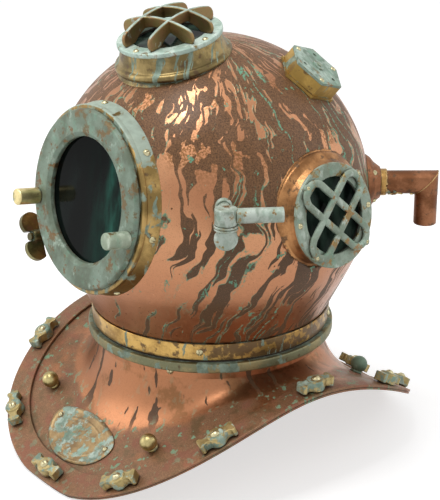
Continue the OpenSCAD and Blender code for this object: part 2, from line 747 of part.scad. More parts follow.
module face_ring() {
    color(mint) face_frame() rotate_extrude($fn = 96) polygon([
        [face_glass_r + run_gap, face_ledge + 1.5], [face_bore_r - run_gap, face_ledge + 1.5],
        [face_bore_r - run_gap, seat_front + run_gap], [face_ring_r + 1, seat_front + run_gap],
        [face_ring_r + 1, seat_front + 2], [face_ring_r, face_front - 1], [face_ring_r - 1, face_front],
        [face_clear_r + 4, face_front], [face_clear_r, face_front - 3], [face_clear_r, ring_lip_z],
        [face_glass_r + run_gap, ring_lip_z]]);
}
module face_posts() {
    color(brass) face_frame() for (a = [-post_drop, 180 + post_drop])
        rotate([0, 0, a]) translate([post_reach, 0, face_front])
            rotate_extrude($fn = 48) polygon([
                [0, 0], [post_r, 0], [post_r, post_l - 1], [post_r - 1, post_l], [0, post_l]]);
}

// Lock stud, washer and wing nut at the side of the faceplate
washer_t = 2;
washer_z = lock_face + run_gap;
wing_hub_z = washer_z + washer_t + run_gap;
wing_hub_h = 10;
wing_hub_r = 7.5;
wing_off = 13;
wing_rise = 8;
stud_top = wing_hub_z + wing_hub_h + 3;
module lock_frame() {
    face_frame() translate([lock_x, lock_y, 0]) children();
}
module lock_stud() {
    color(brass) lock_frame()
        translate([0, 0, lock_face - stud_depth])
            cylinder(r = stud_r, h = stud_top - lock_face + stud_depth, $fn = 32);
}
module lock_washer() {
    color(brass) lock_frame() translate([0, 0, washer_z]) difference() {
        cylinder(r = wing_hub_r + 1, h = washer_t);
        translate([0, 0, -1]) cylinder(r = stud_r + run_gap, h = washer_t + 2, $fn = 32);
    }
}
module wing_nut() {
    color(dull_copper) lock_frame() translate([0, 0, wing_hub_z]) rotate([0, 0, lock_turn]) difference() {
        union() {
            cylinder(r1 = wing_hub_r, r2 = wing_hub_r - 1.5, h = wing_hub_h);
            for (s = [-1, 1])
                translate([-wing_t / 2, s * wing_off, wing_rise]) rotate([0, 90, 0])
                    cylinder(r = wing_r, h = wing_t, $fn = 48);
        }
        translate([0, 0, -wing_r]) cylinder(r = wing_off * 3, h = wing_r);
        translate([0, 0, -1]) cylinder(r = stud_r + run_gap, h = wing_hub_h + wing_r * 2, $fn = 32);
    }
}

// Side ports, measured from the front of the port's ring
module side_frame(side) {
    on_side(side) translate([0, 0, dome_z]) translate(side_front * heading(side_place_az, side_place_el))
        rotate([0, 0, side_az]) rotate([0, 90 - side_el, 0]) rotate([0, 0, 90]) children();
}
port_gasket_t = 1;
glass_lip = 5;
// Play on each side of a port's glass
glass_play = 0.2;
spigot_depth = 34;
module port_seat(open_r, spigot_r, ring_t) {
    rotate_extrude() polygon([
        [open_r + 1, -spigot_depth], [spigot_r, -spigot_depth],
        [spigot_r, -ring_t], [open_r + glass_lip, -ring_t],
        [open_r + glass_lip, -ring_t - port_gasket_t - port_glass_t - 2 * glass_play],
        [open_r + 1, -ring_t - port_gasket_t - port_glass_t - 2 * glass_play]]);
}
module port_gasket(open_r, ring_t) {
    translate([0, 0, -ring_t - port_gasket_t]) difference() {
        cylinder(r = open_r + glass_lip - seat_gap, h = port_gasket_t - 0.1);
        translate([0, 0, -1]) cylinder(r = open_r, h = port_gasket_t + 2);
    }
}
module port_glass(open_r, ring_t) {
    translate([0, 0, -ring_t - port_gasket_t - port_glass_t - glass_play])
        cylinder(r = open_r + glass_lip - seat_gap, h = port_glass_t);
}
// Cuts away everything under the dome's surface but a cylinder of radius r about the port's axis
module clear_of_dome(r) {
    difference() {
        children(0);
        difference() {
            children(1);
            cylinder(r = r, h = dome_r, center = true);
        }
    }
}
side_neck_r = side_ring_r - 2.5;
skirt_depth = 46;
tube_in_r = side_spigot_r - 2;
module side_seat_body() {
    port_seat(side_open_r, side_spigot_r, side_ring_t);
    difference() {
        rotate([side_el - side_tube_el, 0, 0]) rotate_extrude() polygon([
            [0, 0], [side_neck_r, 0], [side_neck_r, -side_ring_t - 3], [side_neck_r + 0.8, -side_ring_t - 7],
            [side_neck_r + 3.2, -side_ring_t - 12], [side_seat_r - 1, -side_ring_t - 17],
            [side_seat_r, -side_ring_t - 19], [side_seat_r, -skirt_depth], [0, -skirt_depth]]);
        translate([0, 0, -side_ring_t]) cylinder(r = side_seat_r * 2, h = side_seat_r);
        translate([0, 0, -2 * skirt_depth]) cylinder(r = tube_in_r, h = 3 * skirt_depth);
    }
}
module side_dome_core() {
    rotate([0, 0, -90]) rotate([0, side_el - 90, 0]) rotate([0, 0, -side_az])
        translate(-side_front * heading(side_place_az, side_place_el)) sphere(dome_r + seat_gap, $fn = 96);
}
module side_port_seat(side) {
    color(brass) side_frame(side) clear_of_dome(side_spigot_r) {
        side_seat_body();
        side_dome_core();
    }
}
ring_screw_in = 4.5;
ring_screw_r = side_ring_r - ring_screw_in;
guard_screw_l = 9;
guard_screw_r = loop_reach - 2;
module each_guard_screw() {
    for (i = [0:3]) rotate([0, 0, 45 + 90 * i]) translate([guard_screw_r, 0, 0]) children();
}
module each_ring_screw() {
    for (i = [0, 1]) rotate([0, 0, 180 * i]) translate([ring_screw_r, 0, 0]) children();
}
module side_port_ring(side) {
    color(mint) side_frame(side) difference() {
        translate([0, 0, -side_ring_t + seat_gap]) cylinder(r = side_ring_r, h = side_ring_t - seat_gap);
        translate([0, 0, -side_ring_t - 1]) cylinder(r = side_open_r, h = side_ring_t + 2);
        each_guard_screw() translate([0, 0, -side_ring_t - 1])
            cylinder(r = 1.1, h = side_ring_t + 2, $fn = 24);
        each_ring_screw() screw_hole(small_screw);
    }
}
module obround(half_l, r) {
    translate([-(half_l - r), -r]) square([2 * (half_l - r), 2 * r]);
    for (s = [-1, 1]) translate([s * (half_l - r), 0]) circle(r);
}
module side_port_guard(side) {
    outer_r = (loop_w + bar_w) / 2;
    color(mint) side_frame(side) translate([0, 0, seat_gap]) difference() {
        union() {
            for (a = [45, -45]) rotate([0, 0, a]) linear_extrude(bar_t) difference() {
                obround(loop_reach, outer_r);
                obround(loop_reach - bar_w, outer_r - bar_w);
            }
            each_guard_screw() cylinder(r = 3.4, h = bar_t - 1, $fn = 32);
        }
        each_guard_screw() translate([0, 0, bar_t - 1]) cylinder(r = 2.3, h = 2, $fn = 24);
        each_guard_screw() translate([0, 0, -1]) cylinder(r = 1.1, h = bar_t + 2, $fn = 24);
    }
}
module side_port_glass(side) {
    color(glass_colour) side_frame(side) port_glass(side_open_r, side_ring_t);
}
module side_port_gasket(side) {
    color(leather) side_frame(side) port_gasket(side_open_r, side_ring_t);
}
module side_port_screws(side) {
    color(steel) side_frame(side) {
        each_guard_screw() translate([0, 0, bar_t - 1 + seat_gap + head_gap])
            screw(guard_screw, guard_screw_l);
        each_ring_screw() translate([0, 0, head_gap]) screw(small_screw);
    }
}

// Top port, measured from the top of its flange
module top_frame() {
    translate([0, 0, dome_z]) translate(top_front * [0, -sin(top_place), cos(top_place)])
        rotate([top_tilt, 0, 0]) children();
}
module top_dome_core() {
    rotate([-top_tilt, 0, 0]) translate(-top_front * [0, -sin(top_place), cos(top_place)])
        sphere(dome_r + seat_gap, $fn = 96);
}
top_neck_r = top_ring_r - 2;
bead_t = 4;
module top_seat_body() {
    port_seat(top_open_r, top_spigot_r, top_ring_t);
    rotate_extrude() polygon([
        [top_spigot_r - 1, -top_ring_t], [top_neck_r, -top_ring_t], [top_neck_r + 0.5, -top_ring_t - 5],
        [top_neck_r + 2, -top_ring_t - 10], [bead_r - bead_t, -bead_drop + bead_t],
        [bead_r - bead_t, -skirt_depth], [top_spigot_r - 1, -skirt_depth]]);
    translate([0, 0, -bead_drop]) rotate_extrude() translate([bead_r - bead_t, 0]) circle(bead_t, $fn = 32);
    translate([0, 0, -skirt_depth]) difference() {
        cylinder(r = bead_r - 1, h = skirt_depth - bead_drop);
        translate([0, 0, -1]) cylinder(r = top_spigot_r - 1, h = skirt_depth + 2);
    }
}
module top_port_seat() {
    color(brass) top_frame() clear_of_dome(top_spigot_r) {
        top_seat_body();
        top_dome_core();
    }
}
top_screws_n = 4;
top_screw_in = 5;
module each_top_screw() {
    for (i = [0:top_screws_n - 1]) rotate([0, 0, 360 * i / top_screws_n + blade_turn])
        translate([top_ring_r - top_screw_in, 0, 0]) children();
}
blade_end_x = blade_half - blade_end_r;
blade_end_y = 6;
// Radius of the crown that touches both rounded ends
blade_gap_h = blade_h - blade_end_y;
crown_r = (blade_end_x * blade_end_x + blade_gap_h * blade_gap_h - blade_end_r * blade_end_r)
    / (2 * (blade_gap_h - blade_end_r));
arch_r = (arch_half * arch_half + arch_h * arch_h) / (2 * arch_h);
module blade() {
    translate([0, blade_t / 2, 0]) rotate([90, 0, 0]) linear_extrude(blade_t) difference() {
        union() {
            intersection() {
                translate([0, blade_h - crown_r]) circle(crown_r, $fn = 96);
                translate([-blade_end_x, -1]) square([2 * blade_end_x, 2 * blade_h]);
            }
            for (s = [-1, 1]) translate([s * blade_end_x, blade_end_y]) circle(blade_end_r);
        }
        translate([0, arch_h - arch_r]) circle(arch_r, $fn = 96);
        translate([-2 * blade_half, -blade_half - 0.5]) square([4 * blade_half, blade_half]);
    }
}
module top_port_ring() {
    color(mint) top_frame() difference() {
        union() {
            difference() {
                translate([0, 0, -top_ring_t + seat_gap]) cylinder(r = top_ring_r, h = top_ring_t - seat_gap);
                translate([0, 0, -top_ring_t - 1]) cylinder(r = top_open_r, h = top_ring_t + 2);
            }
            for (s = [-1, 1]) {
                rotate([0, 0, blade_turn]) translate([0, s * cross_off, 0]) blade();
                rotate([0, 0, blade_turn + 90]) translate([0, s * blade_off, 0]) blade();
            }
        }
        each_top_screw() screw_hole(top_screw);
    }
}
module top_port_glass() {
    color(glass_colour) top_frame() port_glass(top_open_r, top_ring_t);
}
module top_port_gasket() {
    color(leather) top_frame() port_gasket(top_open_r, top_ring_t);
}
module top_port_screws() {
    color(steel) top_frame() each_top_screw() translate([0, 0, head_gap]) screw(top_screw);
}

// Elbows, drawn in the plane of the tube: +X runs outwards and +Z up, from the neck's middle line
module elbow_frame(side) {
    on_side(side) translate([0, 0, dome_z + elbow_up]) rotate([0, 0, elbow_az]) children();
}
tube_in = tube_r - tube_wall;
tube_root_in = 14;
tube_root = sqrt(dome_in * dome_in - elbow_up * elbow_up) - tube_root_in;
cone_face = dome_r + cone_h;
collar_l = 5;
collar_t = 1.8;
hose_end_l = leg_l - tube_r - hose_end_drop;
module mitred_tube() {
    intersection() {
        translate([tube_root, 0, 0]) rotate([0, 90, 0])
            cylinder(r = tube_r, h = elbow_reach - tube_root + 2 * tube_r);
        translate([elbow_reach, 0, 0]) rotate([0, 45, 0])
            translate([-3 * elbow_reach, -elbow_reach / 2, -elbow_reach / 2])
            cube([3 * elbow_reach, elbow_reach, elbow_reach]);
    }
    intersection() {
        union() {
            translate([elbow_reach, 0, hose_end_l - leg_l])
                cylinder(r = tube_r, h = leg_l - hose_end_l + 2 * tube_r);
            translate([elbow_reach, 0, -leg_l]) cylinder(r = hose_end_r, h = leg_l);
        }
        translate([elbow_reach, 0, 0]) rotate([0, 45, 0])
            translate([0, -elbow_reach / 2, -elbow_reach / 2]) cube([elbow_reach, elbow_reach, elbow_reach]);
    }
}
module elbow(side) {
    color(dull_copper) elbow_frame(side) difference() {
        mitred_tube();
        translate([tube_root - 1, 0, 0]) rotate([0, 90, 0])
            cylinder(r = tube_in, h = elbow_reach - tube_root + 1);
        translate([elbow_reach, 0, -leg_l - 1]) cylinder(r = tube_in, h = leg_l + 1);
        translate([elbow_reach, 0, 0]) sphere(tube_in);
    }
}
cone_screws = 4;
cone_screw_in = 9;
cone_root = cone_face - cone_l;
cone_top_r = tube_r + 4;
function cone_at(x) = cone_r + (cone_top_r - cone_r) * (x - cone_root) / cone_l;
cone_lean = atan((cone_r - cone_top_r) / cone_l);
cone_screw_x = cone_face - cone_screw_in;
module each_cone_screw() {
    for (i = [0:cone_screws - 1])
        rotate([45 + 360 * i / cone_screws, 0, 0]) translate([cone_screw_x, 0, cone_at(cone_screw_x)])
            rotate([0, cone_lean, 0]) children();
}
module elbow_base(side) {
    color(dull_copper) elbow_frame(side) difference() {
        translate([cone_root, 0, 0]) rotate([0, 90, 0])
            cylinder(r1 = cone_r, r2 = cone_top_r, h = cone_l);
        translate([0, 0, -elbow_up]) sphere(dome_r + seat_gap, $fn = 240);
        translate([cone_root - 1, 0, 0]) rotate([0, 90, 0]) cylinder(r = tube_r + seat_gap, h = cone_face);
        each_cone_screw() screw_hole(small_screw);
    }
}
module elbow_collar(side) {
    color(brass) elbow_frame(side) translate([cone_face + seat_gap, 0, 0]) rotate([0, 90, 0]) difference() {
        cylinder(r = tube_r + collar_t, h = collar_l);
        translate([0, 0, -1]) cylinder(r = tube_r + 0.1, h = collar_l + 2);
    }
}
module elbow_screws(side) {
    color(steel) elbow_frame(side) each_cone_screw() screw(small_screw);
}

// Exhaust valve, measured along its own axis from the dome's centre
module valve_frame() {
    translate([0, 0, dome_z]) rotate([0, 90 - valve_el, valve_az]) children();
}
body_top = dome_r + hex_h;
hex_root = 8;
chamber_r = 20;
valve_seat_z = dome_r + 1.5;
valve_port_r = 12;
disc_r = 16;
disc_t = 2.5;
disc_z = valve_seat_z + run_gap;
stem_r = 2.5;
boss_r = 6;
boss_h = 1.5;
vent_r = 2.2;
cover_screw_hole_r = 1.4;
cover_screw_r = hex_r - 5.5;
vent_reach = cover_screw_r - 5;
module each_cover_screw() {
    for (i = [0:2]) rotate([0, 0, 120 * i + 60]) translate([cover_screw_r, 0, 0]) children();
}
module hex_prism(r, h) {
    cylinder(r = r, h = h, $fn = 6);
}
module exhaust_body() {
    color(brass) valve_frame() difference() {
        union() {
            difference() {
                union() {
                    translate([0, 0, dome_r - hex_root]) hex_prism(hex_r, body_top - dome_r + hex_root);
                    translate([0, 0, dome_r - hex_root]) hex_prism(hex_r + 2, hex_root);
                }
                sphere(dome_r + seat_gap, $fn = 96);
            }
            translate([0, 0, dome_in - valve_spigot_in])
                cylinder(r = valve_spigot_r, h = valve_seat_z - dome_in + valve_spigot_in);
        }
        translate([0, 0, valve_seat_z]) cylinder(r = chamber_r, h = body_top);
        translate([0, 0, dome_in - valve_spigot_in - 1]) cylinder(r = valve_port_r, h = body_top);
        translate([0, 0, body_top]) each_cover_screw() screw_hole(small_screw);
    }
}
module exhaust_cover() {
    color(mint) valve_frame() translate([0, 0, body_top + seat_gap]) difference() {
        union() {
            hex_prism(hex_r, cover_t);
            cylinder(r = boss_r, h = cover_t + boss_h);
        }
        translate([0, 0, -1]) cylinder(r = stem_r + spindle_gap, h = cover_t + boss_h + 2);
        for (i = [0:2]) rotate([0, 0, 120 * i]) translate([vent_reach, 0, -1])
            cylinder(r = vent_r, h = cover_t + 2);
        each_cover_screw() translate([0, 0, -1]) cylinder(r = cover_screw_hole_r, h = cover_t + 2, $fn = 24);
    }
}
module exhaust_cover_screws() {
    color(steel) valve_frame() translate([0, 0, body_top + cover_t + seat_gap + head_gap])
        each_cover_screw() screw(small_screw);
}
module exhaust_disc() {
    stem_top = body_top + cover_t + boss_h + 1.5;
    color(brass) valve_frame() {
        translate([0, 0, disc_z]) cylinder(r = disc_r, h = disc_t);
        translate([0, 0, disc_z + 1]) cylinder(r = stem_r, h = stem_top - disc_z - 1);
    }
}
// Compression spring between the valve disc and its cover
spring_r = 5.2;
wire_r = 0.6;
spring_turns = 3;
spring_steps = 12;
spring_sides = 6;
module exhaust_spring() {
    z0 = disc_z + disc_t + wire_r + 0.2;
    z1 = body_top - wire_r - 0.2;
    n = spring_turns * spring_steps;
    points = [for (i = [0:n]) for (j = [0:spring_sides - 1])
        let (a = 360 * i / spring_steps, b = 360 * j / spring_sides, r = spring_r + wire_r * cos(b))
        [r * cos(a), r * sin(a), z0 + (z1 - z0) * i / n + wire_r * sin(b)]];
    sides = [for (i = [0:n - 1]) for (j = [0:spring_sides - 1])
        let (k = (j + 1) % spring_sides, p = i * spring_sides, q = p + spring_sides)
        each [[p + j, p + k, q + k], [p + j, q + k, q + j]]];
    start = [[for (j = [spring_sides - 1:-1:0]) j]];
    end = [[for (j = [0:spring_sides - 1]) n * spring_sides + j]];
    color(steel) valve_frame() polyhedron(points = points, faces = concat(sides, start, end), convexity = 6);
}

// Spitcock: +X of its frame points away from the neck's middle line, +Y along the spout
module cock_frame() {
    translate([0, 0, dome_z + cock_up]) rotate([0, 0, cock_az]) translate([cock_reach, 0, 0]) children();
}
waterway_r = 3;
spout_bore_r = 4.5;
cock_shank_in = 8;
cock_shank_l = cock_reach - sqrt(dome_in * dome_in - cock_up * cock_up) + cock_shank_in;
cock_boss_r = 9.5;
plug_top = barrel_h / 2 - 2;
module spitcock_body() {
    color(mint) cock_frame() difference() {
        union() {
            translate([0, 0, -barrel_h / 2]) cylinder(r = barrel_r, h = barrel_h);
            rotate([-90, 0, 0]) cylinder(r = spout_r, h = spout_l);
            rotate([0, -90, 0]) cylinder(r = cock_shank_r, h = cock_shank_l);
            difference() {
                rotate([0, -90, 0]) cylinder(r = cock_boss_r, h = cock_shank_l - 4);
                rotate([0, 0, -cock_az])
                translate([-cock_reach * cos(cock_az), -cock_reach * sin(cock_az), -cock_up])
                    sphere(dome_r + seat_gap, $fn = 96);
                rotate([0, -90, 0]) translate([0, 0, -1])
                cylinder(r = cock_boss_r + 1, h = cock_boss_step + 1);
            }
        }
        translate([0, 0, -barrel_h / 2 - 1])
            cylinder(r = plug_r + spindle_gap, h = plug_top + barrel_h / 2 + 1 + run_gap);
        rotate([-90, 0, 0]) cylinder(r = waterway_r, h = spout_l + 1);
        rotate([-90, 0, 0]) translate([0, 0, barrel_r + 2]) cylinder(r = spout_bore_r, h = spout_l);
        rotate([0, -90, 0]) cylinder(r = waterway_r, h = cock_shank_l + 1);
    }
}
cock_boss_step = cock_reach - sqrt(dome_r * dome_r - cock_up * cock_up) - 3;
thumb_collar_h = 4.5;
thumb_collar_r = barrel_r + 0.8;
thumb_t = 7;
module spitcock_plug() {
    collar_z = -barrel_h / 2 - run_gap - thumb_collar_h;
    thumb_z = collar_z - thumb_r + 1.6;
    color(mint) cock_frame() difference() {
        union() {
            translate([0, 0, collar_z]) cylinder(r = thumb_collar_r, h = thumb_collar_h);
            translate([0, 0, collar_z + 1]) cylinder(r = plug_r, h = plug_top - collar_z - 1);
            translate([0, 0, thumb_z]) rotate([0, 90, 0]) rotate_extrude() polygon([
                [0, -thumb_t / 2], [thumb_r - 2, -thumb_t / 2],
                [thumb_r, -thumb_t / 4], [thumb_r, thumb_t / 4],
                [thumb_r - 2, thumb_t / 2], [0, thumb_t / 2]]);
        }
        rotate([-90, 0, 0]) cylinder(r = waterway_r, h = plug_r + 1);
        rotate([0, -90, 0]) cylinder(r = waterway_r, h = plug_r + 1);
    }
}

breastplate();
brail_strap();
corselet_ring();
corselet_screws();
neck_gasket();
rim_nuts();
rim_nut_screws();
strap_studs();
badge_plate();
badge_screws();
dome();
neck_band();
band_screws();
face_seat();
face_seat_screws();
face_gasket();
face_glass();
face_ring();
face_posts();
lock_stud();
lock_washer();
wing_nut();
side_port_seat(1);  // left_port_seat
side_port_ring(1);  // left_port_ring
side_port_guard(1);  // left_port_guard
side_port_glass(1);  // left_port_glass
side_port_gasket(1);  // left_port_gasket
side_port_screws(1);  // left_port_screws
side_port_seat(-1);  // right_port_seat
side_port_ring(-1);  // right_port_ring
side_port_guard(-1);  // right_port_guard
side_port_glass(-1);  // right_port_glass
side_port_gasket(-1);  // right_port_gasket
side_port_screws(-1);  // right_port_screws
top_port_seat();
top_port_ring();
top_port_glass();
top_port_gasket();
top_port_screws();
elbow(1);  // air_elbow
elbow_base(1);  // air_elbow_base
elbow_collar(1);  // air_elbow_collar
elbow_screws(1);  // air_elbow_screws
elbow(-1);  // phone_elbow
elbow_base(-1);  // phone_elbow_base
elbow_collar(-1);  // phone_elbow_collar
elbow_screws(-1);  // phone_elbow_screws
exhaust_body();
exhaust_cover();
exhaust_cover_screws();
exhaust_disc();
exhaust_spring();
spitcock_body();
spitcock_plug();
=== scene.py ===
import bmesh
import bpy
from math import atan, atan2, copysign, cos, degrees, exp, pi, radians, sin, sqrt, tan, tau
from mathutils import Matrix, Vector, noise


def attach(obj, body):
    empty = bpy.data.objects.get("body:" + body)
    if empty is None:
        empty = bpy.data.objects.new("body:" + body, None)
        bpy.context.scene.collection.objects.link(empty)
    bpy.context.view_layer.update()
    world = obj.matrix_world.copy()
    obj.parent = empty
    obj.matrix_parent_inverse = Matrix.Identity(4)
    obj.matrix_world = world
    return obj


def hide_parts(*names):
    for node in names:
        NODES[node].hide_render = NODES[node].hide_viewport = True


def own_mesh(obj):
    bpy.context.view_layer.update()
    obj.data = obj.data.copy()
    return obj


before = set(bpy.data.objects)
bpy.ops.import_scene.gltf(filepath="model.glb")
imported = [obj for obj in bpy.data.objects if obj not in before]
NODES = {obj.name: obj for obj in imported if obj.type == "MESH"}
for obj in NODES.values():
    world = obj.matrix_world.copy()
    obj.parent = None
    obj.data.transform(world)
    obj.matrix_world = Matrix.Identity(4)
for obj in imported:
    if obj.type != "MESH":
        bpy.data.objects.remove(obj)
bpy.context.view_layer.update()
scene = bpy.context.scene
MM = 0.001
TINY = 1e-6

# Sizes in millimetres, as in the CAD
DOME_R = 158.0
DOME_Z = 259.0
DOME_FOOT = 145.9
SKIRT_LAT = 27.0
NECK_Z = 116.5
LOCK_AT = Vector((-100, -66, 0))

# Frames of the parts, as in the CAD


def rot(axis, deg):
    return Matrix.Rotation(radians(deg), 4, axis)


def move(x, y, z):
    return Matrix.Translation((x, y, z))


def flip(side):
    return Matrix.Diagonal((side, 1, 1, 1))


def side_frame(side):
    a, e = radians(6), radians(6.2)
    p = Vector((cos(a) * cos(e), sin(a) * cos(e), sin(e))) * 170
    return flip(side) @ move(0, 0, DOME_Z) @ move(*p) @ rot("Z", 4.5) @ rot("Y", 78) @ rot("Z", 90)


def elbow_frame(side):
    return flip(side) @ move(0, 0, DOME_Z + 9) @ rot("Z", 53)


MIDDLE = Vector((0, 0, DOME_Z))
FACE = move(*MIDDLE) @ rot("X", 81.6)
TOP_AT = Vector((0, -sin(radians(16)), cos(radians(16)))) * 174
TOP = move(*MIDDLE) @ move(*TOP_AT) @ rot("X", 11.5)
VALVE = move(*MIDDLE) @ rot("Z", 35) @ rot("Y", 38.3)
COCK = move(0, 0, DOME_Z + 36) @ rot("Z", -32.4) @ move(175, 0, 0)
LOCK = FACE @ move(*LOCK_AT)

# Mesh helpers


def placed(name, data):
    obj = bpy.data.objects.new(name, data)
    scene.collection.objects.link(obj)
    return obj


def piece(name, verts, faces, body, slot, mat, nodes=(), frame_m=None, angle=50):
    """A mesh object in the row frame from millimetre points in a part's frame."""
    m = frame_m or Matrix.Identity(4)
    mesh = bpy.data.meshes.new(name)
    mesh.from_pydata([(m @ Vector(v)) * MM for v in verts], [], faces)
    mesh.validate()
    bm = bmesh.new()
    bm.from_mesh(mesh)
    bmesh.ops.remove_doubles(bm, verts=bm.verts, dist=1e-7)
    bmesh.ops.recalc_face_normals(bm, faces=bm.faces)
    bm.to_mesh(mesh)
    bm.free()
    obj = placed(name, mesh)
    mesh.materials.append(LOOKS[mat])
    mesh.shade_smooth()
    if angle < 180:
        mesh.set_sharp_from_angle(angle=radians(angle))
    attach(obj, body)
    if nodes:
        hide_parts(*nodes)
    return obj


class Shape:
    """Collects points and faces of several forms into one piece."""

    def __init__(self):
        self.v, self.f = [], []

    def add(self, verts, faces, m=None):
        k = len(self.v)
        self.v += [m @ Vector(p) if m else p for p in verts]
        self.f += [tuple(i + k for i in f) for f in faces]

    def turn(self, profile, r, n, steps=3, closed=True, m=None):
        """Adds a line with its corners rounded by r, turned about +Z in n steps."""
        self.add(*lathe(soften(profile, r, steps, closed), n, closed), m)

    def make(self, name, *args, **more):
        return piece(name, self.v, self.f, *args, **more)


def circle(n):
    return [(cos(tau * i / n), sin(tau * i / n)) for i in range(n)]


def arc(x, y, r, start, reach, n, first=0, last=None):
    """Points of an arc cut in n steps, from the first to the last of them. Angles in degrees."""
    out = []
    for k in range(first, (n if last is None else last) + 1):
        b = radians(start + reach * k / n)
        out.append((x + r * cos(b), y + r * sin(b)))
    return out


def grid(n, m, around=True, wrap=True):
    """Faces between n rows of m points. around joins the last row to the first, wrap each row's ends."""
    faces = []
    for i in range(n if around else n - 1):
        p, q = i * m, (i + 1) % n * m
        for j in range(m if wrap else m - 1):
            k = (j + 1) % m
            faces.append((p + j, p + k, q + k, q + j))
    return faces


def soften(profile, r, steps=3, closed=True):
    """Rounds the corners of a line of (radius, height) points."""
    out = []
    n = len(profile)
    for i, p in enumerate(profile):
        if not closed and i in (0, n - 1):
            out.append(p)
            continue
        p = Vector(p)
        a, b = Vector(profile[i - 1]) - p, Vector(profile[(i + 1) % n]) - p
        short = a.length < TINY or b.length < TINY
        turn = 0 if short else pi - a.angle(b)
        if turn < 0.12:
            out.append(p)
            continue
        d = min(r * tan(turn / 2), a.length * 0.45, b.length * 0.45)
        s, e = p + a.normalized() * d, p + b.normalized() * d
        for k in range(steps + 1):
            t = k / steps
            out.append((1 - t) ** 2 * s + 2 * t * (1 - t) * p + t * t * e)
    return out


def lathe(profile, n, closed=True):
    """Points and faces of a line turned about +Z."""
    m = len(profile)
    verts = [(r * ca, r * sa, z) for ca, sa in circle(n) for r, z in profile]
    faces = []
    for i in range(n):
        p, q = i * m, (i + 1) % n * m
        for j in range(m if closed else m - 1):
            k = (j + 1) % m
            if max(profile[j][0], profile[k][0]) >= TINY:
                faces.append((p + j, q + j, q + k, p + k))
    return verts, faces


def sweep(points, section, closed=False):
    """A section of (side, up) points carried along a path."""
    verts = []
    n, m = len(points), len(section)
    pts = [Vector(p) for p in points]
    for i, p in enumerate(pts):
        a = pts[i - 1] if closed or i else pts[0]
        b = pts[(i + 1) % n] if closed or i < n - 1 else pts[-1]
        t = (b - a).normalized()
        side = t.cross(Vector((0, 0, 1))).normalized()
        top = side.cross(t).normalized()
        verts += [p + side * s + top * u for s, u in section]
    faces = grid(n, m, closed)
    if not closed:
        faces.append(tuple(range(m)))
        faces.append(tuple((n - 1) * m + j for j in reversed(range(m))))
    return verts, faces


def plate(outline, z0, z1):
    """A flat plate from an outline."""
    n = len(outline)
    verts = [(x, y, z0) for x, y in outline] + [(x, y, z1) for x, y in outline]
    faces = [tuple(reversed(range(n))), tuple(range(n, 2 * n))]
    faces += [(i, (i + 1) % n, n + (i + 1) % n, n + i) for i in range(n)]
    return verts, faces


def bar_section(w, h, power):
    """A rounded bar's section, w wide and h high, standing on 0. A higher power is squarer."""
    return [(w / 2 * copysign(abs(c) ** (2 / power), c),
             h / 2 + h / 2 * copysign(abs(s) ** (2 / power), s)) for c, s in circle(16)]


def bead(path, r, uneven, closed=True):
    """An uneven bead of solder along a path."""
    n = 8
    verts, faces = sweep(path, [(r * c, r * s) for c, s in circle(n)], closed)
    out = []
    for i, v in enumerate(verts):
        c = Vector(path[i // n])
        k = 1 + uneven * noise.noise(v * 0.35) + uneven * 0.6 * noise.noise(v * 1.1)
        out.append(c + (v - c) * k)
    return out, faces


def to_dome(frame_m, x, y, r=DOME_R - 0.4):
    """Height in a part's frame at which its line through (x, y) leaves the dome."""
    c = frame_m.inverted() @ MIDDLE
    return c.z + sqrt(max(r * r - (x - c.x) ** 2 - (y - c.y) ** 2, 0))


def bevel(obj, width):
    b = obj.modifiers.new("edge", "BEVEL")
    b.width = width * MM
    b.segments = 3
    b.limit_method = "ANGLE"
    b.angle_limit = radians(35)

# Materials


def srgb(r, g, b):
    def lin(v):
        v /= 255
        return v / 12.92 if v <= 0.04045 else ((v + 0.055) / 1.055) ** 2.4
    return (lin(r), lin(g), lin(b), 1.0)


